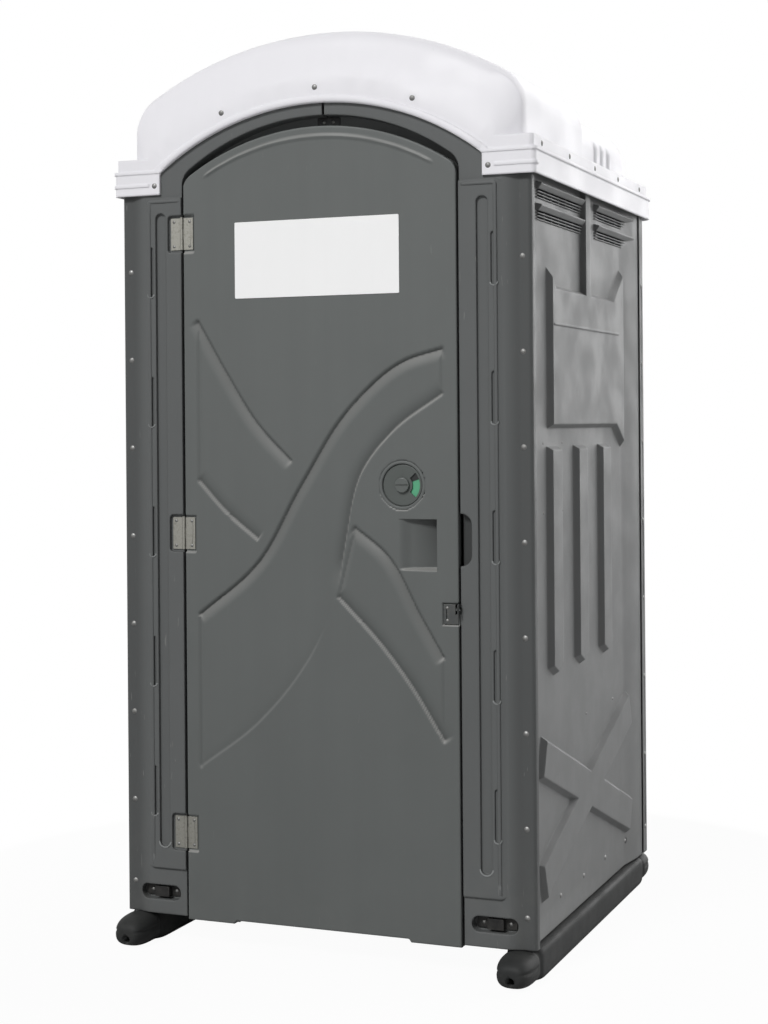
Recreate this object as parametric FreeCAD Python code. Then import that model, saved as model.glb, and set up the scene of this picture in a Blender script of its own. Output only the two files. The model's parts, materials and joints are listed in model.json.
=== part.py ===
import FreeCAD, Part
import math
import os

V = FreeCAD.Vector

# Cabin envelope, in millimetres. X runs across the door, Y from the door to the back, Z up.
half_width = 546.0
half_length = 590.0
rear_overhang = 53.5
half_depth = half_length - rear_overhang
sheet = 4.0
wall_top = 1985.0

# Skids that carry the cabin
skid_height = 76.0
skid_width = 91.0
skid_reach = 5.0
skid_nose_reach = 30.0
skid_tail_inset = 12.0
skid_plan_outer_radius = 38.0
skid_plan_inner_radius = 42.0
skid_top_radius = 30.0
skid_toe_radius = 38.0
skid_edge_radius = 24.0
skid_groove_height = 38.0
skid_groove = 2.5
tow_hole_radius = 11.0
tow_hole_depth = 60.0
tow_hole_height = 24.0

# Floor pan
deck_height = 25.0
deck_sheet = 5.0
pan_upstand = 85.0
pan_bead_pitch = 90.0
pan_bead_width = 26.0
pan_bead_height = 2.5

# Wall sheets: the field between the corner posts lies back from the posts
wall_lift = 4.0
field_depth = 12.0
post_reach_front = 36.5
post_reach_rear = 106.5
post_slope_front = 22.0
post_slope_rear = 100.0
wrap_length = 24.0
rear_wrap_length = 42.0
flange_width = 34.0
corner_radius = 10.0

# Front frame
face_step = 9.0
jamb_raise = 6.5
jamb_edge = 78.0
jamb_outer = half_width - jamb_edge
jamb_bottom = 195.0
jamb_top = 1888.0
jamb_corner = 9.0
flange_face = 32.0
face_slope = 32.0
face_half_width = half_width - flange_face
face_edge = face_half_width - face_slope
front_bottom = 78.0
seam_x = 20.0
seam_gap = 6.0
frame_depth = 41.5
header_margin = 11.0
header_side = 26.0
stop_width = 28.0
jamb_width = 176.0
opening_half_width = half_width - jamb_width
opening_rise = 85.0
opening_apex = wall_top + opening_rise
opening_crown_radius = 600.0
opening_shoulder_radius = 50.0

# Long grooves and short slots pressed into the jambs
channel_inset = 44.0
channel_width = 29.0
channel_inner = opening_half_width + channel_inset
channel_outer = channel_inner + channel_width
channel_bottom = 250.0
channel_top = 1850.0
channel_depth = 7.0
slot_inset = 11.0
slot_x = jamb_outer - slot_inset
slot_width = 14.0
slot_length = 125.0
slot_depth = 4.5
slot_top = 1765.0
slot_pitch = 328.0
slot_count = 5

# Finger scoop in the latch jamb
scoop_height = 125.0
scoop_width = 28.0
scoop_centre_z = 1038.0
scoop_depth = 22.0

# Tie-down pockets low in the jambs
tie_inset = 101.0
tie_x = half_width - tie_inset
tie_z = 132.0
tie_length = 114.0
tie_height = 38.0
tie_depth = 26.0
tie_rivet_spacing = 67.0
tie_bracket_thickness = 5.0
tie_bar_length = 30.0
tie_bar_half_height = 13.0
tie_foot_inset = 8.0

# Door leaf
door_edge_gap = 6.0
door_head_gap = 27.0
door_half_width = opening_half_width - door_edge_gap
door_bottom = 72.0
door_apex = opening_apex - door_head_gap
door_crown_radius = 640.0
door_shoulder_radius = 42.0
door_thickness = 42.0
door_skin = 4.0
door_toe_half_width = 230.0
door_toe_height = 8.0

# Raised work on the door
arc_inset = 22.0
arc_width = 8.0
arc_height = 2.5
arc_half_width = 310.0
relief_height = 4.0
strap_step = 1.0
relief_margin = 40.0
relief_half_width = door_half_width - relief_margin

# Edges of the relief: each point is a share of the half field across and of the leaf's height
sweep_low_edge = [(-1.0, 0.198), (-0.528, 0.255), (-0.093, 0.338), (0.154, 0.423),
                  (0.299, 0.516), (0.367, 0.575), (0.623, 0.624), (1.0, 0.666)]
sweep_high_edge = [(-1.0, 0.391), (-0.515, 0.455), (-0.136, 0.555), (0.265, 0.650),
                   (0.704, 0.707), (1.0, 0.721)]
high_strap_low_edge = [(-1.0, 0.560), (-0.753, 0.519), (-0.494, 0.486)]
high_strap_high_edge = [(-1.0, 0.762), (-0.744, 0.692), (-0.503, 0.633), (-0.185, 0.580)]
low_strap_low_edge = [(0.17, 0.417), (0.531, 0.357), (0.735, 0.315), (1.0, 0.248)]
low_strap_high_edge = [(0.306, 0.503), (0.537, 0.474), (0.836, 0.393), (1.0, 0.348)]

# Finger pull in the door
pull_edge = 54.0
pull_width = 98.0
pull_right = door_half_width - pull_edge
pull_left = pull_right - pull_width
pull_bottom = 962.0
pull_height = 124.0
pull_top = pull_bottom + pull_height
pull_depth = 30.0

# Hinges
hinge_low_z = 290.0
hinge_pitch = 753.0
hinge_count = 3
hinge_height = 80.0
hinge_leaf_width = 31.0
hinge_leaf = 2.5
hinge_barrel_radius = 4.0
hinge_pin_radius = 2.4
hinge_play = 0.05
hinge_pocket = 7.5
hinge_pocket_margin = 7.0
hinge_rivet_edge = 9.0
knuckle_gap = 0.5

# Rivets
rivet_head_radius = 7.0
rivet_head_height = 2.5
rivet_shank_radius = 2.4
small_head_radius = 4.0
small_head_height = 1.6
flat_head_height = 0.8
corner_rivet_inset = 23.0
corner_rivet_x = half_width - corner_rivet_inset
corner_rivet_top = 1705.0
corner_rivet_pitch = 224.0
corner_rivet_count = 7
corner_rivet_low = 153.0
rear_rivet_inset = 20.0
base_rivet_z = 147.0
base_rivet_front_inset = 68.0
base_rivet_first_step = 183.0
base_rivet_pitch = 210.0
base_rivet_count = 4
roof_rivet_z = 1975.0
roof_rivet_front_inset = 59.0
roof_rivet_pitch = 236.0
roof_rivet_count = 5
rear_band_rivet_pitch = 200.0
rim_rivet_inset = 39.0
rim_rivet_x = 255.0
rim_corner_rivet_inset = 15.0
rim_corner_rivet_z = 1921.0

# Roof: each arch's radius follows from its half width and how far it falls at its sides
roof_sheet = 5.0
skirt_drop = 87.0
skirt_bottom = wall_top - skirt_drop
skirt_height = 62.0
skirt_top = skirt_bottom + skirt_height
low_bead_rise = 21.0
low_bead_return = 20.0
low_bead_margin = 30.0
bead_height = 8.0
roof_band_reach = 9.0
skirt_reach = 6.0
bead_reach = 3.0
skirt_front_step = 1.5
roof_front_corner = 12.0
roof_rear_corner = 34.0
rim_side = 116.0
rim_half_width = half_width - rim_side
rim_rise = 29.0
rim_apex = opening_apex + rim_rise
rim_side_fall = 147.6414208
rim_crown_radius = (rim_half_width ** 2 + rim_side_fall ** 2) / (2 * rim_side_fall)
rim_corner_radius = 12.0
rim_lip_width = 18.0
rim_lip_height = 2.5
band_width = 36.0
band_rise = 56.0
dome_side = 25.0
dome_half_width = half_width - dome_side
dome_rise = 185.0
dome_apex = rim_apex + dome_rise
dome_side_fall = 161.7394907
dome_crown_radius = (dome_half_width ** 2 + dome_side_fall ** 2) / (2 * dome_side_fall)
dome_shoulder_radius = 90.0
dome_slope_run = 36.0
dome_edge_radius = 34.0
dome_rear_part = 544.5
dome_step_y = half_depth - dome_rear_part
dome_step_run = 29.0
dome_step_drop = 35.5
dome_step_inset = 12.5
dome_rear_margin = 105.0
dome_rear_y = half_length - dome_rear_margin
flute_pitch = 66.0
flute_count = 3
flute_radius = 30.0
flute_reach = 6.0
flute_from_step = 178.0
flute_first = dome_step_y + flute_from_step
flute_rise = 66.0
edge_steps = 3

# Side wall relief
relief_out = 15.0
relief_draft = 10.0
panel_front_inset = 164.5
panel_rear_inset = 246.5
panel_front = panel_front_inset - half_depth
panel_rear = half_depth - panel_rear_inset
panel_rear_step = 34.0
panel_rear_rise = 86.0
panel_bottom = 1300.0
panel_top = 1650.0
panel_bottom_chamfer = 55.0
panel_top_chamfer = 80.0
panel_front_chamfer = 42.0
panel_line_z = 1552.0
rib_lead = 8.0
rib_front = panel_front - rib_lead
rib_width = 96.0
rib_pitch = 232.0
rib_bottom = 718.0
rib_top = 1257.0
rib_tip = 22.0
rib_count = 3
brace_shift = 4.0
brace_overrun = 84.0
brace_centre_y = (panel_front + panel_rear) / 2 - brace_shift
brace_centre_z = 366.0
brace_half_run = (panel_rear - panel_front) / 2 + brace_overrun
brace_rise = 150.0
brace_width = 104.0
mullion_width = 44.0
mullion_front = (panel_front + panel_rear) / 2 - 22.0
mullion_rear = mullion_front + mullion_width
top_rail_height = 40.0
top_rail_bottom = wall_top - top_rail_height
top_rail_rear_gap = 44.5

# Vent bays near the top of each side wall
bay_front_inset = 85.5
bay_rear_inset = 92.5
bay_front = bay_front_inset - half_depth
bay_rear = half_depth - bay_rear_inset
bay_margin = 3.0
bay_rear_margin = 87.0
hood_top = 1887.0
hood_pitch = 52.0
hood_count = 2
hood_reach = 15.0
hood_lip = 3.0
hood_height = 14.0
hood_foot = 7.0
hood_rise = 4.0
vent_height = 22.0
blade_count = 3
blade_pitch = 7.0
blade_thickness = 2.5
blade_reach = 6.0
blade_step = 1.5
vent_bar_pitch = 62.0
vent_bar_width = 8.0

# Rear wall
bulge_side = 126.0
bulge_half_width = half_width - bulge_side
bulge_bottom = 130.0
bulge_top = 1120.0
bulge_out = 26.0
rear_rail_out = rear_overhang - skirt_reach - bead_reach - roof_sheet
rear_rib_width = 90.0
rear_rib_pitch = 240.0
rear_rib_bottom = 1200.0
rear_rib_top = 1800.0
rear_rib_out = 18.0

# Latch
latch_edge = 142.0
latch_x = door_half_width - latch_edge
latch_z = 1167.0
latch_recess = 8.0
escutcheon_radius = 50.0
escutcheon_thickness = 4.0
dial_radius = 46.0
dial_thickness = 2.0
dial_play = 0.4
window_inner_radius = 25.0
window_outer_radius = 44.0
window_half_angle = 42.0
boss_radius = 18.0
boss_height = 7.0
slot_cut = 3.0
spindle_radius = 7.0
spindle_play = 0.05
hub_radius = 58.0
bush_flange_radius = 24.0
bush_flange = 4.0
bush_radius = 12.0
lever_length = 95.0
lever_width = 22.0
lever_thickness = 12.0
cam_reach = 160.0
cam_width = 26.0
cam_thickness = 6.0
cam_lift = 7.5
keeper_height = 150.0
keeper_thickness = 3.0

# Padlock hasp
hasp_z = 861.0
hasp_pocket_edge = 42.0
hasp_pocket_left = door_half_width - hasp_pocket_edge
hasp_plate_width = 24.0
hasp_pocket_height = 54.0
hasp_pocket_depth = 5.0
hasp_tab = 2.5
hasp_tab_reach = 20.0
hasp_tab_height = 24.0
hasp_tab_lift = 2.0
hasp_leaf_depth = 30.0
hasp_leaf_margin = 9.0
hasp_hole_radius = 4.5
hasp_gap = 1.5
hasp_rivet_spacing = 30.0

# Header plate across the joint of the two front halves
header_plate_half = 30.0
header_plate_height = 24.0
header_plate = 3.0
header_screw_offset = 12.0

# Blank notice plate
plate_side = 145.0
plate_half_width = door_half_width - plate_side
plate_bottom = 1628.0
plate_height = 189.0
plate_top = plate_bottom + plate_height
plate_field_margin = 6.0
plate_thickness = 1.5
plate_corner = 3.0

# Inside door furniture
handle_edge = 74.0
handle_x = door_half_width - handle_edge
handle_z = 930.0
handle_length = 180.0
handle_reach = 42.0
handle_radius = 9.0
handle_foot_radius = 17.0
handle_foot = 5.0
hook_z = 1600.0
hook_reach = 45.0
hook_radius = 5.0
hook_plate_width = 50.0
hook_plate_height = 40.0
hook_plate = 4.0

# Waste tank with its seat step
tank_side_gap = 11.0
tank_rear_gap = 27.5
tank_length = 525.0
tank_height = 440.0
tank_sheet = 5.0
tank_front_slope = 40.0
seat_setback = 225.0
seat_hole_half_width = 95.0
seat_hole_half_length = 125.0
seat_half_width = 180.0
seat_half_length = 205.0
seat_thickness = 18.0
seat_buffer = 4.0
lid_thickness = 10.0
lid_gap = 1.5
seat_hinge_spread = 80.0
seat_hinge_radius = 6.0
seat_hinge_bore_play = 0.05
seat_hinge_block_width = 16.0
seat_hinge_back = 20.0
seat_post_half_width = 6.0
seat_post_half_depth = 10.0
seat_foot_half = 14.0
seat_foot = 4.0
seat_buffer_radius = 9.0
seat_buffer_x = 125.0
seat_buffer_y = 110.0
lid_open_angle = 96.0

# Vent stack from the tank through the roof
stack_side_gap = 86.0
stack_rear_gap = 65.0
stack_radius = 45.0
stack_wall = 3.0
stack_top = 2205.0
cap_radius = 68.0
cap_height = 16.0
cap_leg = 22.0
collar_radius = 62.0
collar_height = 10.0

# Urinal on the left wall
urinal_setback = 210.0
urinal_screw_inset = 20.0
urinal_screw_drop = 25.0
urinal_screw_pitch = 75.0
urinal_bottom = 640.0
urinal_top = 1010.0
urinal_half_width = 130.0
urinal_reach = 210.0
urinal_sheet = 4.0
urinal_back_height = 120.0
drain_radius = 19.0
drain_wall = 2.5

# Paper holder on the right wall
holder_setback = 110.0
holder_z = 640.0
holder_half_length = 150.0
holder_depth = 130.0
holder_sheet = 4.0
roll_radius = 52.0
roll_bore = 21.0
roll_length = 104.0
roll_gap = 3.0
bar_radius = 9.0
holder_screw_half_spacing = 133.0
holder_screw_rise = -80.0
holder_back_rise = 55.0

# Hand cleanser dispenser on the right wall
dispenser_inset = 211.5
dispenser_z = 1180.0
dispenser_half_width = 98.0
dispenser_height = 210.0
dispenser_depth = 98.0
dispenser_sheet = 3.0
dispenser_screw_half_y = 81.0
dispenser_screw_half_z = 84.0
push_height = 46.0
push_thickness = 8.0
push_gap = 1.0
push_pin_radius = 3.0
push_pin_play = 0.05

# Levels that follow from the sizes above
deck_z = skid_height + deck_height
wall_bottom = skid_height + wall_lift
post_x = half_width - sheet
field_x = post_x - field_depth
field_in = field_x - sheet
front_flange_y = -half_depth
face_y = front_flange_y - face_step
jamb_y = face_y - jamb_raise
skid_outer_x = half_width + skid_reach
skid_inner_x = skid_outer_x - skid_width
skid_front_y = -(half_length + skid_nose_reach)
skid_rear_y = half_length - skid_tail_inset
frame_back_y = face_y + frame_depth
stop_y = frame_back_y - sheet
door_front_y = jamb_y
latch_face_y = door_front_y + latch_recess
door_back_y = door_front_y + door_thickness
door_seam_y = (door_front_y + door_back_y) / 2
roof_front_y = face_y - roof_sheet
roof_band_x = half_width + roof_band_reach
rail_x = roof_band_x - roof_sheet
skirt_front_y = roof_front_y - skirt_front_step
rear_band_y = half_length - skirt_reach - bead_reach
hinge_x = -(door_half_width + door_edge_gap)
hinge_y = door_front_y + hinge_pocket - hinge_barrel_radius
deck_top_z = deck_z + tank_height
seat_z = deck_top_z + seat_buffer
wall_front_y = front_flange_y + sheet
rear_inner_y = half_depth - sheet
base_rivet_front = base_rivet_front_inset - half_depth
roof_rivet_front = roof_rivet_front_inset - half_depth
tank_half_width = field_in - tank_side_gap
tank_rear = rear_inner_y - tank_rear_gap
tank_front = tank_rear - tank_length
seat_y = tank_front + seat_setback
stack_x = stack_side_gap - field_in
stack_y = tank_rear - stack_rear_gap
urinal_y = tank_front + urinal_setback
holder_y = tank_front + holder_setback
dispenser_y = dispenser_inset - half_depth
centre_shift = skid_nose_reach / 2


def box(x0, x1, y0, y1, z0, z1):
    """A block between two values on each axis."""
    low = V(min(x0, x1), min(y0, y1), min(z0, z1))
    return Part.makeBox(abs(x1 - x0), abs(y1 - y0), abs(z1 - z0), low)


def rod(radius, start, end):
    """A round bar from one point to another."""
    run = end - start
    return Part.makeCylinder(radius, run.Length, start, run)


def at_plane(plane, u, v, w):
    """A point from its two coordinates in a plane and its level."""
    if plane == "xy":
        return V(u, v, w)
    if plane == "xz":
        return V(u, w, v)
    return V(w, u, v)


def normal_of(plane):
    """The axis that a named plane is square to."""
    if plane == "xy":
        return V(0, 0, 1)
    if plane == "xz":
        return V(0, 1, 0)
    return V(1, 0, 0)


def polygon(plane, points, level):
    """A closed outline of straight edges."""
    corners = [at_plane(plane, u, v, level) for u, v in points]
    return Part.makePolygon(corners + corners[:1])


def slab(wire, plane, low, high):
    """The solid that an outline at the low level sweeps up to the high one."""
    return Part.Face(wire).extrude(normal_of(plane) * (high - low))


def prism(plane, points, low, high):
    """A solid with a straight-edged outline."""
    return slab(polygon(plane, points, low), plane, low, high)


def round_rect(plane, u0, u1, v0, v1, radius, level):
    """A rectangle with round corners."""
    diagonal = radius * (1 - math.sqrt(0.5))
    corners = [(u1, v0, -1, 1), (u1, v1, -1, -1), (u0, v1, 1, -1), (u0, v0, 1, 1)]
    edges = []
    last = at_plane(plane, u0 + radius, v0, level)
    for index, (u, v, du, dv) in enumerate(corners):
        along_u = (u + du * radius, v)
        along_v = (u, v + dv * radius)
        first, second = (along_u, along_v) if index % 2 == 0 else (along_v, along_u)
        start = at_plane(plane, *first, level)
        middle = at_plane(plane, u + du * diagonal, v + dv * diagonal, level)
        end = at_plane(plane, *second, level)
        if (start - last).Length > 1e-6:
            edges.append(Part.makeLine(last, start))
        edges.append(Part.Arc(start, middle, end).toShape())
        last = end
    first_point = edges[0].Vertexes[0].Point
    if (first_point - last).Length > 1e-6:
        edges.append(Part.makeLine(last, first_point))
    return Part.Wire(edges)


def round_slab(plane, u0, u1, v0, v1, radius, low, high):
    """A plate with round corners."""
    return slab(round_rect(plane, u0, u1, v0, v1, radius, low), plane, low, high)


def arch_wire(width, bottom, apex, crown, shoulder, y):
    """Upright sides, a wide crown arc and a tangent arc at each shoulder."""
    crown_z = apex - crown
    shoulder_x = width - shoulder
    reach = crown - shoulder
    shoulder_z = crown_z + math.sqrt(reach ** 2 - shoulder_x ** 2)
    turn = math.atan2(shoulder_z - crown_z, shoulder_x)
    tangent = (crown * math.cos(turn), crown_z + crown * math.sin(turn))
    half = (shoulder_x + shoulder * math.cos(turn / 2), shoulder_z + shoulder * math.sin(turn / 2))

    def point(x, z):
        return V(x, y, z)

    return Part.Wire([
        Part.makeLine(point(-width, bottom), point(width, bottom)),
        Part.makeLine(point(width, bottom), point(width, shoulder_z)),
        Part.Arc(point(width, shoulder_z), point(*half), point(*tangent)).toShape(),
        Part.Arc(point(*tangent), point(0, apex), point(-tangent[0], tangent[1])).toShape(),
        Part.Arc(point(-tangent[0], tangent[1]), point(-half[0], half[1]),
                 point(-width, shoulder_z)).toShape(),
        Part.makeLine(point(-width, shoulder_z), point(-width, bottom)),
    ])


def arch(width, bottom, apex, crown, shoulder, y0, y1):
    """An arched plate from y0 back to y1."""
    wire = arch_wire(width, bottom, apex, crown, shoulder, y0)
    return Part.Face(wire).extrude(V(0, y1 - y0, 0))


def mirrored(shape):
    """The same piece on the other side of the cabin."""
    return shape.mirror(V(0, 0, 0), V(1, 0, 0))


def join(shapes):
    """One solid from several that touch."""
    first, *others = shapes
    return first.fuse(others).removeSplitter() if others else first


def single(shape):
    """The one solid of a piece."""
    return shape.Solids[0] if len(shape.Solids) == 1 else shape


# Rivets

def rivet(point, outward, grip, head_radius=rivet_head_radius, head_height=rivet_head_height):
    """A domed head with its shank through the sheets behind it."""
    dome_radius = (head_radius ** 2 + head_height ** 2) / (2 * head_height)
    centre = point - outward * (dome_radius - head_height)
    dome = Part.makeSphere(dome_radius, centre)
    head = dome.common(rod(head_radius, point, point + outward * (head_height + 1)))
    return head.fuse(shank(point, outward, grip)).removeSplitter()


def shank(point, outward, grip):
    """The part of a rivet that fills its hole."""
    return rod(rivet_shank_radius, point - outward * grip, point)


def corner_rivet_levels():
    """Heights of the rivets down each corner post."""
    levels = [corner_rivet_top - corner_rivet_pitch * step for step in range(corner_rivet_count)]
    return levels + [corner_rivet_low]


def front_corner_places():
    """Rivets through the front flanges."""
    outward = V(0, -1, 0)
    return [(V(side * corner_rivet_x, front_flange_y, z), outward, 2 * sheet)
            for side in (-1, 1) for z in corner_rivet_levels()]


def rear_corner_places():
    """Rivets through the wrapped edges of the rear wall."""
    y = half_depth - rear_rivet_inset
    return [(V(side * half_width, y, z), V(side, 0, 0), 2 * sheet)
            for side in (-1, 1) for z in corner_rivet_levels()]


def base_places():
    """Rivets through the side walls into the floor pan."""
    second = base_rivet_front + base_rivet_first_step
    depths = [base_rivet_front] + [second + base_rivet_pitch * step for step in range(base_rivet_count)]
    return [(V(side * field_x, y, base_rivet_z), V(side, 0, 0), 2 * sheet)
            for side in (-1, 1) for y in depths]


def roof_side_places():
    """Rivets through the roof band into the top rails of the side walls."""
    return [(V(side * roof_band_x, roof_rivet_front + roof_rivet_pitch * step, roof_rivet_z),
             V(side, 0, 0), roof_sheet + sheet)
            for side in (-1, 1) for step in range(roof_rivet_count)]


def roof_rim_places():
    """Rivets through the roof rim into the header and the jamb tops."""
    outward = V(0, -1, 0)
    rivet_radius = rim_crown_radius + rim_rivet_inset
    crown_z = rim_apex - rim_crown_radius
    places = []
    for x in (-rim_rivet_x, 0, rim_rivet_x):
        z = crown_z + math.sqrt(rivet_radius ** 2 - x ** 2)
        places.append((V(x, roof_front_y, z), outward, roof_sheet + sheet))
    for side in (-1, 1):
        x = side * (rim_half_width + rim_corner_rivet_inset)
        places.append((V(x, skirt_front_y, rim_corner_rivet_z), outward,
                       skirt_front_step + roof_sheet + sheet))
    return places


def rivet_group(places, head_radius=rivet_head_radius, head_height=rivet_head_height):
    """A row of rivets as separate solids."""
    return Part.makeCompound([rivet(point, outward, grip, head_radius, head_height)
                              for point, outward, grip in places])


def drilled(shape, places):
    """A sheet with the holes that rivets fill."""
    return shape.cut([shank(point, outward, grip) for point, outward, grip in places])


# Base

def skid_form(inset):
    """A sled runner with bulbous noses, drawn in by an inset all round."""
    x0, x1 = skid_inner_x + inset, skid_outer_x - inset
    y0, y1 = skid_front_y + inset, skid_rear_y - inset
    z0, z1 = inset, skid_height - inset
    spare = 2 * skid_width
    faces = [
        round_slab("xy", x0 - spare, x1, y0, y1, skid_plan_outer_radius - inset, z0, z1),
        round_slab("xy", x0, x1 + spare, y0, y1, skid_plan_inner_radius - inset, z0, z1),
        round_slab("yz", y0, y1, z0 - spare, z1, skid_top_radius - inset, x0, x1),
        round_slab("yz", y0, y1, z0, z1 + spare, skid_toe_radius - inset, x0, x1),
        round_slab("xz", x0, x1, z0, z1, skid_edge_radius - inset, y0, y1),
    ]
    form = faces[0]
    for face in faces[1:]:
        form = form.common(face)
    return form


def tow_hole(side):
    """The round hole in the nose of a skid."""
    x = side * (skid_inner_x + skid_outer_x) / 2
    return rod(tow_hole_radius, V(x, skid_front_y, tow_hole_height),
               V(x, skid_front_y + tow_hole_depth, tow_hole_height))


def skid_right():
    form = skid_form(0)
    groove_band = box(0, 2 * half_width, skid_front_y, -half_depth,
                      skid_groove_height - skid_groove, skid_groove_height)
    groove = groove_band.cut(skid_form(skid_groove))
    return form.cut([groove, tow_hole(1)])


def floor_pan():
    """A tray with a raised deck, an upstand inside the walls and feet on the skids."""
    front = frame_back_y
    rear = rear_inner_y
    outer = box(-field_in, field_in, front, rear, skid_height, skid_height + pan_upstand)
    inside = box(-field_in + sheet, field_in - sheet, front + sheet, rear - sheet,
                 deck_z, skid_height + pan_upstand)
    under = box(-skid_inner_x + sheet, skid_inner_x - sheet, front + sheet, rear - sheet,
                skid_height, deck_z - deck_sheet)
    doorway = box(-opening_half_width + stop_width, opening_half_width - stop_width,
                  front, front + sheet, deck_z, skid_height + pan_upstand)
    pan = outer.cut([inside, under, doorway])
    beads = []
    y = front + pan_bead_pitch
    while y < tank_front - pan_bead_width:
        beads.append(round_slab("xy", -field_in + pan_bead_pitch, field_in - pan_bead_pitch,
                                y, y + pan_bead_width, pan_bead_width / 2 - 1,
                                deck_z - 1, deck_z + pan_bead_height))
        y += pan_bead_pitch
    return join([pan] + beads)


# Front frame

def opening(grow, y0, y1):
    """The doorway, grown by a width on every side."""
    return arch(opening_half_width + grow, front_bottom - 50, opening_apex + grow,
                opening_crown_radius + grow, opening_shoulder_radius + grow, y0, y1)


def header_arch(y0, y1):
    """The part of the front frame that reaches up behind the roof rim."""
    rise = band_rise - header_margin
    return arch(rim_half_width + header_side, front_bottom, rim_apex + rise, rim_crown_radius + rise,
                rim_corner_radius + rise, y0, y1)


def face_section():
    """Half of the pressed front sheet, from the middle round the corner to the side wall."""
    turn_x = half_width - corner_radius
    turn_y = front_flange_y + corner_radius
    share = math.sqrt(0.5)

    def point(x, y):
        return V(x, y, front_bottom)

    def line(*ends):
        return Part.makeLine(point(*ends[0]), point(*ends[1]))

    def arc(radius, start, end):
        middle = point(turn_x + radius * share, turn_y - radius * share)
        return Part.Arc(point(*start), middle, point(*end)).toShape()

    front = [(0, face_y), (face_edge, face_y), (face_half_width, front_flange_y),
             (turn_x, front_flange_y)]
    wrap = [(half_width, turn_y), (half_width, front_flange_y + wrap_length),
            (post_x, front_flange_y + wrap_length), (post_x, turn_y)]
    back = [(turn_x, wall_front_y), (face_half_width, wall_front_y), (face_edge, face_y + sheet),
            (0, face_y + sheet), (0, face_y)]
    edges = [line(*pair) for run in (front, wrap, back) for pair in zip(run, run[1:])]
    edges.append(arc(corner_radius, front[-1], wrap[0]))
    edges.append(arc(corner_radius - sheet, wrap[-1], back[0]))
    return slab(Part.Wire(Part.sortEdges(edges)[0]), "xy", front_bottom, wall_top)


def behind_face(side):
    """The space behind the front's outer face on one side."""
    points = [(0, face_y), (side * face_edge, face_y), (side * face_half_width, front_flange_y),
              (side * face_half_width, frame_back_y), (0, frame_back_y)]
    return prism("xy", points, front_bottom, wall_top)


def front_frame():
    """Both jambs and the header as one pressed sheet, before it is halved at the seam."""
    section = face_section()
    parts = [section, mirrored(section), header_arch(face_y, face_y + sheet)]
    parts.append(finger_scoop(sheet, 0).common(box(opening_half_width, half_width, -half_length,
                                                  frame_back_y, front_bottom, wall_top)))
    for side in (-1, 1):
        parts.append(jamb_pad(side))
        parts.append(tie_pocket(side, sheet, 0).common(behind_face(side)))
    frame = join(parts).cut(opening(0, jamb_y - 1, frame_back_y + 1))
    rebate = opening(sheet, face_y, frame_back_y).cut(opening(0, jamb_y, frame_back_y))
    stop = opening(sheet, stop_y, frame_back_y).cut(opening(-stop_width, stop_y, frame_back_y))
    ring = rebate.fuse(stop).common(box(-half_width, half_width, jamb_y, frame_back_y,
                                        front_bottom, dome_apex))
    frame = join([frame, ring])
    cuts = [tie_pocket(side, 0, -1) for side in (-1, 1)]
    for side in (-1, 1):
        cuts.append(channel(side))
        cuts.extend(jamb_slots(side))
    cuts.append(finger_scoop(0, -jamb_raise - 1))
    cuts.extend(hinge_pockets())
    return frame.cut(cuts)


def jamb_pad(side):
    """The raised strip between the doorway and the outer slope."""
    inner = side * (opening_half_width - 1)
    outer = side * jamb_outer
    slope = side * jamb_raise
    points = [(inner, face_y + sheet), (inner, jamb_y), (outer - slope, jamb_y),
              (outer + slope, face_y), (outer + slope, face_y + sheet)]
    u0, u1 = sorted((side * (opening_half_width - jamb_edge), outer + slope))
    outline = round_slab("xz", u0, u1, jamb_bottom, jamb_top, jamb_corner, jamb_y - 1, face_y + sheet + 1)
    return prism("xy", points, jamb_bottom, jamb_top).common(outline)


def channel(side):
    """A long shallow groove with round ends."""
    u0, u1 = sorted((side * channel_inner, side * channel_outer))
    radius = (channel_outer - channel_inner) / 2 - 1
    return round_slab("xz", u0, u1, channel_bottom, channel_top, radius, jamb_y - 1,
                      jamb_y + channel_depth)


def jamb_slots(side):
    """Short grooves down the outer edge of the jamb."""
    slots = []
    for step in range(slot_count):
        top = slot_top - slot_pitch * step
        x = side * slot_x
        slots.append(round_slab("xz", x - slot_width / 2, x + slot_width / 2, top - slot_length, top,
                                slot_width / 2 - 1, jamb_y - 1, jamb_y + slot_depth))
    return slots


def finger_scoop(grow, front):
    """A half-round scoop beside the latch edge of the doorway, with or without its wall."""
    reach = scoop_width + grow
    rise = scoop_height / 2 + grow
    return round_slab("xz", opening_half_width - reach, opening_half_width + reach,
                      scoop_centre_z - rise, scoop_centre_z + rise, reach - 1, face_y + front,
                      jamb_y + scoop_depth + grow)


def tie_pocket(side, grow, front):
    """The pocket for a tie-down bar, as a block with or without its wall."""
    half = tie_length / 2 + grow
    rise = tie_height / 2 + grow
    x = side * tie_x
    return round_slab("xz", x - half, x + half, tie_z - rise, tie_z + rise, rise - 0.5,
                      face_y + front, face_y + tie_depth + grow)


def hinge_levels():
    """Heights of the hinge centres."""
    return [hinge_low_z + hinge_pitch * step for step in range(hinge_count)]


def hinge_pockets():
    """Recesses that the hinge leaves lie in."""
    reach = hinge_leaf_width + hinge_pocket_margin
    rise = hinge_height / 2 + hinge_pocket_margin
    return [round_slab("xz", hinge_x - reach, hinge_x + reach, z - rise, z + rise, 10,
                       door_front_y - 10, door_front_y + hinge_pocket)
            for z in hinge_levels()]


def hinge_rivet_places(side):
    """Rivets of the leaves on one side of the pins."""
    outward = V(0, -1, 0)
    x = hinge_x + side * (hinge_leaf_width - hinge_rivet_edge)
    y = door_front_y + hinge_pocket - hinge_leaf
    rise = hinge_height / 2 - hinge_rivet_edge
    return [(V(x, y, z + dz), outward, hinge_leaf + 2.0)
            for z in hinge_levels() for dz in (-rise, rise)]


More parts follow.
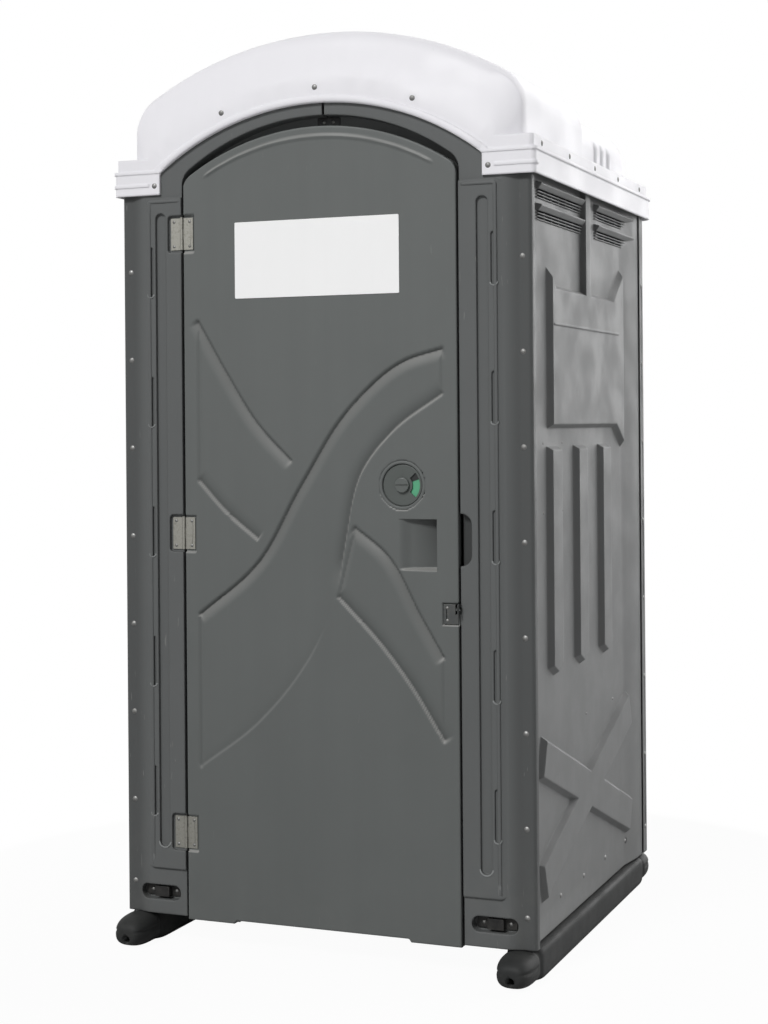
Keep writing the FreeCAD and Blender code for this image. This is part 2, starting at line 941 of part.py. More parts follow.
def tie_rivet_places():
    """Rivets of the tie-down bars."""
    y = face_y + tie_depth - tie_bracket_thickness
    return [(V(side * tie_x + dx, y, tie_z), V(0, -1, 0), tie_bracket_thickness + sheet)
            for side in (-1, 1) for dx in (-tie_rivet_spacing / 2, tie_rivet_spacing / 2)]


def header_screw_places():
    """Screws of the header plate, one in each front half."""
    y = stop_y - header_plate
    middle = seam_x
    return [(V(middle + dx, y, header_plate_z()), V(0, -1, 0), header_plate + sheet)
            for dx in (-header_screw_offset, header_screw_offset)]


def header_plate_z():
    """Height of the header plate on the stop flange."""
    return opening_apex - header_plate_height / 2 - 2


def front_halves():
    """The front frame parted at the seam above the door."""
    frame = drilled(front_frame(), front_corner_places() + roof_rim_places() + tie_rivet_places()
                    + hinge_rivet_places(-1) + header_screw_places() + keeper_rivet_places()
                    + hasp_frame_places())
    low = box(-2 * half_width, seam_x - seam_gap / 2, -half_length, half_length, 0, dome_apex)
    high = box(seam_x + seam_gap / 2, 2 * half_width, -half_length, half_length, 0, dome_apex)
    return single(frame.common(low)), single(frame.common(high))


def header_joint_plate():
    """A plate on the stop flange that ties the two front halves together."""
    z = header_plate_z()
    plate = round_slab("xz", seam_x - header_plate_half, seam_x + header_plate_half,
                       z - header_plate_height / 2, z + header_plate_height / 2, 4,
                       stop_y - header_plate, stop_y)
    return drilled(plate, header_screw_places())


def tie_bars():
    """A bar across each tie-down pocket, held off the back for a strap."""
    bars = []
    low = tie_z - tie_bar_half_height
    high = tie_z + tie_bar_half_height
    reach = tie_bar_length / 2
    gauge = tie_bracket_thickness
    for side in (-1, 1):
        x = side * tie_x
        back = face_y + tie_depth
        feet = [box(x + sign * (tie_length / 2 - tie_foot_inset), x + sign * reach,
                    back - gauge, back, low, high) for sign in (-1, 1)]
        bridge = box(x - reach - gauge, x + reach + gauge, back - 4 * gauge, back - 3 * gauge, low, high)
        legs = [box(x + sign * reach, x + sign * (reach + gauge), back - 3 * gauge, back, low, high)
                for sign in (-1, 1)]
        bars.append(drilled(join(feet + [bridge] + legs), tie_rivet_places()))
    return Part.makeCompound(bars)


# Hinges

def knuckles(rows, z):
    """Barrel lengths of one leaf, as thirds of the hinge's height."""
    third = hinge_height / 3
    low = z - hinge_height / 2
    return [rod(hinge_barrel_radius, V(hinge_x, hinge_y, low + third * row + knuckle_gap / 2),
                V(hinge_x, hinge_y, low + third * (row + 1) - knuckle_gap / 2)) for row in rows]


def hinge_leaf_form(side, z, rows, clear_rows):
    """One leaf of a butt hinge with its share of the barrel."""
    back = door_front_y + hinge_pocket
    plate = box(hinge_x + side * 1.5, hinge_x + side * hinge_leaf_width, back - hinge_leaf, back,
                z - hinge_height / 2, z + hinge_height / 2)
    third = hinge_height / 3
    low = z - hinge_height / 2
    notches = [box(hinge_x - side * 5, hinge_x + side * (hinge_barrel_radius + 0.5), back - 12, back + 1,
                   low + third * row - knuckle_gap / 2, low + third * (row + 1) + knuckle_gap / 2)
               for row in clear_rows]
    leaf = plate.cut(notches).fuse(knuckles(rows, z))
    bore = rod(hinge_pin_radius + hinge_play, V(hinge_x, hinge_y, low - 5),
               V(hinge_x, hinge_y, low + hinge_height + 5))
    return leaf.cut(bore).removeSplitter()


def hinge_frame_leaves():
    leaves = [hinge_leaf_form(-1, z, (0, 2), (1,)) for z in hinge_levels()]
    return Part.makeCompound([drilled(leaf, hinge_rivet_places(-1)) for leaf in leaves])


def hinge_door_leaves():
    leaves = [hinge_leaf_form(1, z, (1,), (0, 2)) for z in hinge_levels()]
    return Part.makeCompound([drilled(leaf, hinge_rivet_places(1)) for leaf in leaves])


def hinge_pins():
    """Pins with small heads that stop them dropping through."""
    pins = []
    for z in hinge_levels():
        low = V(hinge_x, hinge_y, z - hinge_height / 2)
        high = V(hinge_x, hinge_y, z + hinge_height / 2)
        head = rod(hinge_barrel_radius - 0.4, high, high + V(0, 0, 2))
        pins.append(rod(hinge_pin_radius, low, high).fuse(head).removeSplitter())
    return Part.makeCompound(pins)


# Door

def leaf_outline(inset, y0, y1):
    """The outline of the door, drawn in by an inset."""
    leaf = arch(door_half_width - inset, door_bottom + inset, door_apex - inset,
                door_crown_radius - inset, door_shoulder_radius - inset, y0, y1)
    toe = round_slab("xz", -door_toe_half_width - inset, door_toe_half_width + inset,
                     door_bottom - 20, door_bottom + door_toe_height + inset, 6, y0 - 1, y1 + 1)
    return leaf.cut(toe)


def curve(points, y):
    """A smooth edge through a few points of the door's face."""
    spline = Part.BSplineCurve()
    spline.interpolate([V(x, y, z) for x, z in points])
    return spline.toShape()


def relief_patch(lower, upper, y0, y1):
    """A raised patch between two smooth edges that share their end lines."""
    first = curve(lower, y0)
    second = curve(upper, y0)
    edges = [first,
             Part.makeLine(V(lower[-1][0], y0, lower[-1][1]), V(upper[-1][0], y0, upper[-1][1])),
             second,
             Part.makeLine(V(upper[0][0], y0, upper[0][1]), V(lower[0][0], y0, lower[0][1]))]
    return Part.Face(Part.Wire(Part.sortEdges(edges)[0])).extrude(V(0, y1 - y0, 0))


def leaf_points(shares):
    """Points of the door's face from shares of the relief field and of the leaf's height."""
    height = door_apex - door_bottom
    return [(relief_half_width * across, door_bottom + height * up) for across, up in shares]


def door_relief():
    """The stiffening sweep and its two straps, pressed forward from the door's face."""
    y0 = door_front_y - relief_height
    y1 = door_front_y + 0.5
    patches = [(sweep_low_edge, sweep_high_edge, y0),
               (high_strap_low_edge, high_strap_high_edge, y0 + strap_step),
               (low_strap_low_edge, low_strap_high_edge, y0 + strap_step)]
    return [relief_patch(leaf_points(low), leaf_points(high), front, y1) for low, high, front in patches]


def face_arc():
    """A thin raised arc under the top edge of the door."""
    outer = arch(door_half_width, 0, door_apex - arc_inset, door_crown_radius - arc_inset,
                 door_shoulder_radius, door_front_y - arc_height, door_front_y + 0.5)
    inner = arch(door_half_width + 1, -1, door_apex - arc_inset - arc_width,
                 door_crown_radius - arc_inset - arc_width, door_shoulder_radius,
                 door_front_y - arc_height - 1, door_front_y + 1)
    window = box(-arc_half_width, arc_half_width, -half_length, half_length,
                 door_apex - arc_inset - 130, door_apex)
    return outer.cut(inner).common(window)


def latch_axis(y):
    """A point on the latch spindle's axis."""
    return V(latch_x, y, latch_z)


def pull_block(grow):
    """The finger pull: a pocket that deepens away from the hinge."""
    left = pull_left - grow
    right = pull_right + grow
    deep = door_front_y + pull_depth + grow
    shallow = door_front_y + pull_depth / 3 + grow
    front = door_front_y - (0 if grow else relief_height + 1)
    points = [(left, front), (left, shallow), (right, deep), (right, front)]
    return prism("xy", points, pull_bottom - grow, pull_top + grow)


def door_outer_shell():
    """The outside half of the twin-sheet door."""
    pan = leaf_outline(0, door_front_y, door_seam_y)
    hollow = leaf_outline(door_skin, door_front_y + door_skin, door_seam_y + 1)
    shell = pan.cut(hollow)
    adds = door_relief() + [face_arc(), pull_block(door_skin)]
    adds.append(rod(hub_radius, latch_axis(door_front_y), latch_axis(door_seam_y)))
    seat_reach = hinge_leaf_width + hinge_pocket_margin + door_skin
    seat_rise = hinge_height / 2 + hinge_pocket_margin + door_skin
    for z in hinge_levels():
        adds.append(box(-door_half_width, hinge_x + seat_reach, door_front_y,
                        door_front_y + hinge_pocket + door_skin, z - seat_rise, z + seat_rise))
    adds.append(box(hasp_pocket_left - door_skin, door_half_width, door_front_y,
                    door_front_y + hasp_pocket_depth + 2 * door_skin,
                    hasp_z - hasp_pocket_height / 2 - door_skin,
                    hasp_z + hasp_pocket_height / 2 + door_skin))
    shell = join([shell] + adds)
    cuts = [pull_block(0)] + hinge_pockets()
    cuts.append(hasp_pocket())
    cuts.append(rod(dial_radius + 2 * dial_play, latch_axis(door_front_y - relief_height - 1),
                    latch_axis(latch_face_y + dial_thickness + 2 * dial_play)))
    cuts.append(rod(escutcheon_radius + 1, latch_axis(door_front_y - relief_height - 1),
                    latch_axis(latch_face_y)))
    cuts.append(rod(bush_radius, latch_axis(door_front_y - 1), latch_axis(door_seam_y + 1)))
    margin = plate_field_margin
    cuts.append(box(-plate_half_width - margin, plate_half_width + margin,
                    door_front_y - relief_height - 1, door_front_y, plate_bottom - margin,
                    plate_top + margin))
    shell = shell.cut(cuts)
    return drilled(shell, hinge_rivet_places(1) + hasp_door_places())


def door_inner_shell():
    """The inside half of the twin-sheet door, with shallow stiffening panels."""
    pan = leaf_outline(0, door_seam_y, door_back_y)
    hollow = leaf_outline(door_skin, door_seam_y - 1, door_back_y - door_skin)
    shell = pan.cut(hollow)
    hub = rod(hub_radius, latch_axis(door_seam_y), latch_axis(door_back_y))
    shell = join([shell, hub])
    cuts = [rod(bush_radius, latch_axis(door_seam_y - 1), latch_axis(door_back_y + 1))]
    for low, high in inner_panels():
        cuts.append(round_slab("xz", -door_half_width + 60, door_half_width - 190, low, high, 30,
                               door_back_y - 2, door_back_y + 1))
    shell = shell.cut(cuts)
    return drilled(shell, handle_places() + hook_places())


def inner_panels():
    """Heights of the shallow panels pressed into the inside of the door."""
    return [(240, 700), (760, 1220), (1280, 1500)]


def notice_plate():
    """A bare plate for the operator's notice, bonded to the door."""
    return round_slab("xz", -plate_half_width, plate_half_width, plate_bottom, plate_top,
                      plate_corner, door_front_y - plate_thickness, door_front_y)


# Latch

def window_cut(y0, y1):
    """The crescent window of the escutcheon."""
    ring = rod(window_outer_radius, latch_axis(y0), latch_axis(y1))
    ring = ring.cut(rod(window_inner_radius, latch_axis(y0), latch_axis(y1)))
    reach = 2 * window_outer_radius
    rise = reach * math.tan(math.radians(window_half_angle))
    wedge = prism("xz", [(latch_x, latch_z), (latch_x + reach, latch_z - rise),
                         (latch_x + reach, latch_z + rise)], y0, y1)
    return ring.common(wedge)


def latch_escutcheon():
    """The round outside plate with its window."""
    front = latch_face_y - escutcheon_thickness
    plate = rod(escutcheon_radius, latch_axis(latch_face_y), latch_axis(front))
    edge = [e for e in plate.Edges if abs(e.CenterOfMass.y - front) < 0.01]
    plate = plate.makeFillet(escutcheon_thickness - 2, edge)
    centre = rod(spindle_radius + 1.0, latch_axis(latch_face_y + 1), latch_axis(front - 1))
    return plate.cut([window_cut(front - 1, latch_face_y + 1), centre])


def latch_dial():
    """The indicator disc, its spindle and the slotted boss outside."""
    front = latch_face_y - escutcheon_thickness
    disc_front = latch_face_y + dial_play
    disc = rod(dial_radius, latch_axis(disc_front), latch_axis(disc_front + dial_thickness))
    spindle = rod(spindle_radius, latch_axis(front - 1),
                  latch_axis(door_back_y + bush_flange + cam_lift + cam_thickness))
    boss = rod(boss_radius, latch_axis(front - dial_play), latch_axis(front - dial_play - boss_height))
    boss = boss.makeFillet(2, [e for e in boss.Edges
                               if abs(e.CenterOfMass.y - (front - dial_play - boss_height)) < 0.01])
    cut = box(latch_x - boss_radius, latch_x + boss_radius, front - dial_play - boss_height - 1,
              front - dial_play - boss_height + slot_cut, latch_z - 2, latch_z + 2)
    return join([disc, spindle, boss]).cut(cut)


def latch_bush():
    """The bush that the spindle turns in, with a flange inside the door."""
    start = latch_face_y + dial_thickness + 2 * dial_play
    tube = rod(bush_radius, latch_axis(start), latch_axis(door_back_y + bush_flange))
    flange = rod(bush_flange_radius, latch_axis(door_back_y), latch_axis(door_back_y + bush_flange))
    bore = rod(spindle_radius + spindle_play, latch_axis(start - 1),
               latch_axis(door_back_y + bush_flange + 1))
    return join([tube, flange]).cut(bore)


def latch_cam():
    """The tongue that turns behind the keeper, standing upright when the door is free."""
    y0 = door_back_y + bush_flange + cam_lift
    bar = round_slab("xz", latch_x - cam_width / 2, latch_x + cam_width / 2,
                     latch_z - cam_width / 2, latch_z + cam_reach, cam_width / 2 - 0.5,
                     y0, y0 + cam_thickness)
    return bar.cut(rod(spindle_radius, latch_axis(y0 - 1), latch_axis(y0 + cam_thickness + 1)))


def latch_lever():
    """The handle inside the door that turns the spindle."""
    y0 = door_back_y + bush_flange + cam_lift + cam_thickness
    hub = rod(lever_width, latch_axis(y0), latch_axis(y0 + lever_thickness))
    grip = round_slab("xz", latch_x - lever_width / 2, latch_x + lever_width / 2,
                      latch_z - lever_length, latch_z, lever_width / 2 - 1, y0, y0 + lever_thickness)
    return join([hub, grip])


def keeper_z_range():
    """Heights between which the latch tongue passes."""
    return latch_z - keeper_height / 2, latch_z + keeper_height / 2


def keeper_rivet_places():
    """Rivets of the keeper, from inside the cabin."""
    low, high = keeper_z_range()
    y = frame_back_y + keeper_thickness
    x = opening_half_width - stop_width / 2
    return [(V(x, y, z), V(0, 1, 0), keeper_thickness + sheet) for z in (low + 12, high - 12)]


def latch_keeper():
    """A strike plate on the back of the stop flange that the tongue bears on."""
    low, high = keeper_z_range()
    x0 = opening_half_width - stop_width + 1
    plate = box(x0, opening_half_width + sheet, frame_back_y, frame_back_y + keeper_thickness, low, high)
    return drilled(plate, keeper_rivet_places())


# Hasp

def hasp_pocket():
    """A shallow pocket open to the latch edge of the door."""
    return box(hasp_pocket_left, door_half_width + 1, door_front_y - relief_height - 1,
               door_front_y + hasp_pocket_depth,
               hasp_z - hasp_pocket_height / 2, hasp_z + hasp_pocket_height / 2)


def hasp_door_places():
    """Rivets of the door's padlock tab."""
    y = door_front_y + hasp_pocket_depth - hasp_tab
    x = hasp_pocket_left + hasp_plate_width / 2
    return [(V(x, y, hasp_z + dz), V(0, -1, 0), hasp_tab + door_skin)
            for dz in (-hasp_rivet_spacing / 2, hasp_rivet_spacing / 2)]


def hasp_frame_places():
    """Rivets of the frame's padlock tab, on the side of the opening."""
    y = jamb_y + hasp_leaf_depth - hasp_leaf_margin
    return [(V(opening_half_width - hasp_tab, y, hasp_z + dz), V(-1, 0, 0), hasp_tab + sheet)
            for dz in (-hasp_rivet_spacing / 2, hasp_rivet_spacing / 2)]


def hasp_ear(x0, x1, z0):
    """A tab that stands forward with a padlock hole through it."""
    front = door_front_y - hasp_tab_reach
    ear = box(x0, x1, front, door_front_y + hasp_pocket_depth - hasp_tab,
              z0, z0 + hasp_tab_height)
    centre = V(x0 - 1, front + hasp_hole_radius + 3, z0 + hasp_tab_height / 2)
    return ear.cut(rod(hasp_hole_radius, centre, centre + V(x1 - x0 + 2, 0, 0)))


def hasp_door_tab():
    back = door_front_y + hasp_pocket_depth
    plate = box(hasp_pocket_left + 2, door_half_width - hasp_gap, back - hasp_tab, back,
                hasp_z - hasp_pocket_height / 2 + 3, hasp_z + hasp_pocket_height / 2 - 3)
    x1 = door_half_width - hasp_gap
    ear = hasp_ear(x1 - hasp_tab, x1, hasp_z + hasp_tab_lift)
    return drilled(join([plate, ear]), hasp_door_places())


def hasp_frame_tab():
    """A flat tab on the side of the opening, beside the door's tab."""
    x0 = opening_half_width - hasp_tab
    reach = hasp_rivet_spacing / 2 + hasp_leaf_margin
    leaf = box(x0, opening_half_width, jamb_y + 1, jamb_y + hasp_leaf_depth,
               hasp_z - reach, hasp_z + hasp_tab_lift + hasp_tab_height)
    ear = hasp_ear(x0, opening_half_width, hasp_z + hasp_tab_lift)
    return drilled(join([leaf, ear]), hasp_frame_places())


# Inside door furniture

def handle_places():
    """Screws of the pull handle."""
    y = door_back_y + handle_foot
    return [(V(handle_x, y, handle_z + dz), V(0, 1, 0), handle_foot + door_skin)
            for dz in (-handle_length / 2 - 22, handle_length / 2 + 22)]


def pull_handle():
    """A bowed handle on two feet."""
    y0 = door_back_y
    top = y0 + handle_reach
    low = handle_z - handle_length / 2
    high = handle_z + handle_length / 2
    legs = [rod(handle_radius, V(handle_x, y0, z), V(handle_x, top, z)) for z in (low, high)]
    grip = rod(handle_radius, V(handle_x, top, low), V(handle_x, top, high))
    knees = [Part.makeSphere(handle_radius, V(handle_x, top, z)) for z in (low, high)]
    feet = [round_slab("xz", handle_x - handle_foot_radius, handle_x + handle_foot_radius,
                       z0, z1, handle_foot_radius - 1, y0, y0 + handle_foot)
            for z0, z1 in ((low - 36, low + 14), (high - 14, high + 36))]
    return drilled(join(legs + knees + feet + [grip]), handle_places())


def hook_places():
    """Screws of the coat hook."""
    y = door_back_y + hook_plate
    return [(V(dx, y, hook_z), V(0, 1, 0), hook_plate + door_skin)
            for dx in (-hook_plate_width / 2 + 9, hook_plate_width / 2 - 9)]


def coat_hook():
    """A plate with one upturned prong."""
    y0 = door_back_y
    plate = round_slab("xz", -hook_plate_width / 2, hook_plate_width / 2, hook_z - hook_plate_height / 2,
                       hook_z + hook_plate_height / 2, 8, y0, y0 + hook_plate)
    low = hook_z - hook_plate_height / 4
    tip = V(0, y0 + hook_reach, low)
    arm = rod(hook_radius, V(0, y0, low), tip)
    prong = rod(hook_radius, tip, tip + V(0, 0, hook_reach / 2))
    knob = Part.makeSphere(hook_radius * 1.5, tip + V(0, 0, hook_reach / 2))
    return drilled(join([plate, arm, Part.makeSphere(hook_radius, tip), prong, knob]), hook_places())


# Side walls

def hat(points, out, base):
    """A pressed-out form as its outer and inner solids, for a sheet square to X."""
    def frustum(shrink, top_shrink, x0, x1):
        low = polygon("yz", points, x0)
        wires = []
        for distance, x in ((shrink, x0), (top_shrink, x1)):
            wire = low.copy()
            if distance:
                wire = wire.makeOffset2D(-distance, 2, False, False, True)
            wire.translate(V(x - x0, 0, 0))
            wires.append(wire)
        return Part.makeLoft(wires, True, True)

    outer = frustum(0, relief_draft, base, base + out)
    inner = frustum(sheet * 0.8, relief_draft + sheet * 0.8, base - sheet - 0.5, base + out - sheet)
    return outer, inner


def rib_outline(index):
    """One of the upright ribs, with a pointed foot."""
    y0 = rib_front + rib_pitch * index
    y1 = y0 + rib_width
    return [(y0, rib_bottom), ((y0 + y1) / 2, rib_bottom - rib_tip), (y1, rib_bottom),
            (y1, rib_top), (y0, rib_top)]


def brace_outline(sign):
    """One arm of the crossed brace."""
    length = math.hypot(brace_half_run, brace_rise)
    along = (brace_half_run / length, sign * brace_rise / length)
    across = (-along[1], along[0])
    corners = []
    for reach, side in ((-1, -1), (1, -1), (1, 1), (-1, 1)):
        corners.append((brace_centre_y + reach * brace_half_run + side * across[0] * brace_width / 2,
                        brace_centre_z + reach * sign * brace_rise + side * across[1] * brace_width / 2))
    return corners


def wall_relief():
    """Every pressed-out form of a side wall."""
    forms = [[(panel_front, panel_bottom), (panel_rear - panel_bottom_chamfer, panel_bottom),
              (panel_rear + panel_rear_step, panel_bottom - panel_bottom_chamfer),
              (panel_rear + panel_rear_step, panel_top + panel_rear_rise),
              (panel_rear - panel_top_chamfer, panel_top), (panel_front + panel_front_chamfer, panel_top),
              (panel_front, panel_top + panel_front_chamfer)]]
    forms += [rib_outline(index) for index in range(rib_count)]
    forms += [brace_outline(sign) for sign in (-1, 1)]
    return [hat(points, relief_out, field_x) for points in forms]


def vent_bays():
    """The two vent bays of a side wall, between the posts and the mullion."""
    return [(bay_front, mullion_front - bay_margin), (mullion_rear + bay_rear_margin, bay_rear)]


def hood_outline(top, draw):
    """The section of a hood, drawn in by an amount: a lip that falls back to the wall below it."""
    return [(field_in - 1 if draw else field_x - 1, top + hood_rise - draw),
            (field_x, top + hood_rise - draw), (field_x + hood_reach - draw, top - draw * 0.3),
            (field_x + hood_reach - draw, top - hood_lip), (field_x + hood_foot - draw, top - hood_height),
            (field_in - 1 if draw else field_x - 1, top - hood_height)]


def vent_hood(y0, y1, top):
    """A hood pressed out over a row of vent openings."""
    return prism("xz", hood_outline(top, 0), y0, y1)


def vent_blades(y0, y1, top):
    """Thin blades across a row of vent openings, each set back from the one above."""
    blades = []
    for index in range(blade_count):
        z = top - hood_height - blade_pitch * (index + 1)
        blades.append(box(field_in, field_x + blade_reach - blade_step * index, y0, y1,
                          z, z + blade_thickness))
    return blades


def vent_slots(y0, y1, top):
    """A row of openings under a hood, parted by narrow bars."""
    z1 = top - hood_height
    z0 = z1 - vent_height
    cuts = []
    count = int((y1 - y0 - 12) // vent_bar_pitch)
    start = (y0 + y1 - count * vent_bar_pitch) / 2
    for index in range(count):
        low = start + index * vent_bar_pitch + vent_bar_width / 2
        cuts.append(box(field_in - 1, field_x + 0.5, low, low + vent_bar_pitch - vent_bar_width, z0, z1))
    return cuts


def side_wall_right():
    """A pressed sheet with posts at both corners, ribs, a brace and two vent bays."""
    y_front = wall_front_y
    y_rear = rear_inner_y
    flange_in = post_x - flange_width
    y1 = y_front + post_reach_front - sheet
    y2 = y1 + post_slope_front
    y4 = y_rear - post_reach_rear + sheet
    y3 = y4 - post_slope_rear
    bevel = corner_radius - sheet
    outer = [(flange_in, y_front), (post_x - bevel, y_front), (post_x, y_front + bevel), (post_x, y1),
             (field_x, y2), (field_x, y3), (post_x, y4), (post_x, y_rear)]
    inner = [(post_x - sheet, y_rear), (post_x - sheet, y4), (field_in, y3), (field_in, y2),
             (post_x - sheet, y1), (post_x - sheet, y_front + bevel), (post_x - bevel, y_front + sheet),
             (flange_in, y_front + sheet)]
    wall = prism("xy", outer + inner, wall_bottom, wall_top)
    rail_rear = half_depth - top_rail_rear_gap
    rail = box(field_x - 1, rail_x, y2 - post_slope_front, rail_rear, top_rail_bottom, wall_top)
    rail_hollow = box(field_in - 1, rail_x - sheet, y2, y3, top_rail_bottom + sheet, wall_top - sheet)
    mullion = box(field_x - 1, field_x + relief_out, mullion_front, mullion_rear, panel_top - 10,
                  top_rail_bottom + 1)
    mullion_hollow = box(field_in - 1, field_x + relief_out - sheet, mullion_front + sheet,
                         mullion_rear - sheet, panel_top, top_rail_bottom)
    outers, inners = zip(*wall_relief())
    hoods = []
    hollows = []
    slots = []
    blades = []
    for y0, y_end in vent_bays():
        for row in range(hood_count):
            top = hood_top - hood_pitch * row
            hoods.append(vent_hood(y0, y_end, top))
            hollows.append(prism("xz", hood_outline(top, sheet), y0 + sheet, y_end - sheet))
            slots.extend(vent_slots(y0, y_end, top))
            blades.extend(vent_blades(y0, y_end, top))
    line = box(field_x + relief_out - 1, field_x + relief_out + 2, panel_front + 2 * relief_draft,
               panel_rear - 3 * relief_draft, panel_line_z, panel_line_z + 5)
    wall = join([wall, rail, mullion] + list(outers) + hoods + [line])
    wall = wall.cut([rail_hollow, mullion_hollow] + list(inners) + slots + hollows)
    return join([wall] + blades)


def drilled_walls():
    """Both side walls with their rivet holes."""
    right = side_wall_right()
    places = front_corner_places() + rear_corner_places() + base_places() + roof_side_places()
    left_places = places + urinal_places()
    right_places = places + holder_places() + dispenser_places()
    right = right.cut([rod(rivet_head_radius + 1, point, point + outward * field_depth)
                       for point, outward, grip in base_places() if outward.x > 0])
    return drilled(mirrored(right), left_places), drilled(right, right_places)


# Rear wall

def rear_wall():
    """A pressed sheet that wraps the rear posts, with a bulge behind the tank."""
    y0, y1 = rear_inner_y, half_depth
    parts = [box(-half_width, half_width, y0, y1, wall_bottom, wall_top)]
    for side in (-1, 1):
        parts.append(box(side * post_x, side * half_width, half_depth - rear_wrap_length, y1,
                         wall_bottom, wall_top))
    cuts = []
    forms = [(-bulge_half_width, bulge_half_width, bulge_bottom, bulge_top, bulge_out),
             (-field_in, field_in, top_rail_bottom - 10, wall_top, rear_rail_out)]
    for index in (-1, 0, 1):
        x = index * rear_rib_pitch
        forms.append((x - rear_rib_width / 2, x + rear_rib_width / 2, rear_rib_bottom,
                      rear_rib_top, rear_rib_out))
    for x0, x1, z0, z1, out in forms:
        parts.append(rear_frustum(x0, x1, z0, z1, y1 - 0.5, y1 + out, 0))
        cuts.append(rear_frustum(x0, x1, z0, z1, y0 - 0.5, y1 + out - sheet, sheet))
    wall = join(parts).cut(cuts)
    return drilled(wall, rear_corner_places() + rear_roof_places())


def rear_frustum(x0, x1, z0, z1, y0, y1, inset):
    """A pressed-out form of the rear wall with sloped sides."""
    draft = min(relief_draft, (y1 - y0) * 0.6)
    low = polygon("xz", [(x0 + inset, z0 + inset), (x1 - inset, z0 + inset),
                         (x1 - inset, z1 - inset), (x0 + inset, z1 - inset)], y0)
    top = polygon("xz", [(x0 + inset + draft, z0 + inset + draft),
                         (x1 - inset - draft, z0 + inset + draft),
                         (x1 - inset - draft, z1 - inset), (x0 + inset + draft, z1 - inset)], y1)
    return Part.makeLoft([low, top], True, True)


def rear_roof_places():
    """Rivets through the rear band of the roof."""
    return [(V(x, rear_band_y, roof_rivet_z), V(0, 1, 0), roof_sheet + sheet)
            for x in (rear_band_rivet_pitch * step for step in range(-2, 3))]


# Roof

def roof_section(y, drop, draw, inset, bottom):
    """One arched section of the dome."""
    return arch_wire(dome_half_width - draw - inset, bottom, dome_apex - drop - inset,
                     dome_crown_radius - inset, dome_shoulder_radius - inset, y)


def dome(inset, bottom):
    """The crowned roof, with a lower and narrower rear part."""
    lean = dome_edge_radius
    front = roof_front_y + inset
    wires = [arch_wire(rim_half_width + band_width - inset, bottom, rim_apex + band_rise - inset,
                       rim_crown_radius + band_rise - inset, rim_corner_radius + band_rise - inset, front)]
    edge_y = roof_front_y + dome_slope_run + inset
    for step in range(edge_steps + 1):
        angle = math.pi / 2 * step / edge_steps
        wires.append(roof_section(edge_y + lean * (1 - math.cos(angle)), lean * (1 - math.sin(angle)),
                                  lean * (1 - math.sin(angle)) * 0.2, inset, bottom))
    wires.append(roof_section(dome_step_y - inset, 0, 0, inset, bottom))
    wires.append(roof_section(dome_step_y + dome_step_run - inset, dome_step_drop, dome_step_inset,
                              inset, bottom))
    end_y = dome_rear_y - inset
    for step in range(edge_steps + 1):
        angle = math.pi / 2 * step / edge_steps
        wires.append(roof_section(end_y - lean * (1 - math.sin(angle)),
                                  dome_step_drop + lean * (1 - math.cos(angle)),
                                  dome_step_inset + lean * (1 - math.cos(angle)) * 0.4, inset, bottom))
    return Part.makeLoft(wires, True, True)


def skirt_block(side_x, front, rear, z0, z1, inset=0.0):
    """One level of the skirt, with tight corners in front and rounder ones behind."""
    spare = half_length
    fore = round_slab("xy", -side_x, side_x, front, rear + spare, roof_front_corner - inset, z0, z1)
    aft = round_slab("xy", -side_x, side_x, front - spare, rear, roof_rear_corner - inset, z0, z1)
    return fore.common(aft)


def roof():
    """The moulded roof: skirt, band, front rim and crowned dome."""
    top_z = wall_top + roof_sheet
    skirt_x = roof_band_x + skirt_reach
    bead_x = skirt_x + bead_reach
    low_bead = skirt_bottom + low_bead_rise
    outer = [
        skirt_block(skirt_x, skirt_front_y, half_length - bead_reach, skirt_bottom, skirt_top),
        skirt_block(bead_x, skirt_front_y - skirt_front_step, half_length, skirt_top - bead_height,
                    skirt_top),
        skirt_block(roof_band_x, roof_front_y, rear_band_y, skirt_top, top_z),
        dome(0, skirt_top),
    ]
    inner = [
        skirt_block(skirt_x - roof_sheet, face_y, half_length - bead_reach - roof_sheet,
                    skirt_bottom - 1, skirt_top - roof_sheet, roof_sheet),
        skirt_block(rail_x, face_y, rear_band_y - roof_sheet, skirt_bottom, wall_top, roof_sheet),
        dome(roof_sheet, skirt_top - 1),
    ]
    low_ring = skirt_block(bead_x, skirt_front_y - skirt_front_step, half_length, low_bead,
                           low_bead + bead_height)
    low_inner = rim_half_width + low_bead_margin
    for side in (-1, 1):
        outer.append(low_ring.common(box(side * low_inner, side * half_length, -half_length,
                                         skirt_front_y + low_bead_return, skirt_bottom, skirt_top)))
    lip = rim(rim_lip_width, roof_front_y - rim_lip_height, roof_front_y + 1).common(
        box(-half_width, half_width, -half_length, half_length, skirt_top - bead_height, dome_apex))
    flutes = [dome_flute(side, index) for side in (-1, 1) for index in range(flute_count)]
    shell = join(outer + [lip] + flutes).cut(inner)
    shell = shell.cut(rim(0, roof_front_y - 10, face_y + 1))
    shell = shell.cut(rod(stack_radius, V(stack_x, stack_y, wall_top), V(stack_x, stack_y, dome_apex)))
    places = roof_side_places() + roof_rim_places() + rear_roof_places()
    return drilled(shell, places)


def rim(grow, y0, y1):
    """The arched cut-out of the roof's front, grown by a width."""
    return arch(rim_half_width + grow, skirt_bottom - 20 + grow, rim_apex + grow, rim_crown_radius + grow,
                rim_corner_radius + grow, y0, y1).common(
        box(-half_width, half_width, y0, y1, skirt_bottom, dome_apex))


def dome_flute(side, index):
    """A soft upright flute on the flank of the roof's rear part."""
    x = side * (dome_half_width - dome_step_inset - flute_radius + flute_reach)
    y = flute_first + index * flute_pitch
    crown = V(x, y, wall_top + flute_rise)
    return rod(flute_radius, V(x, y, wall_top), crown).fuse(Part.makeSphere(flute_radius, crown))


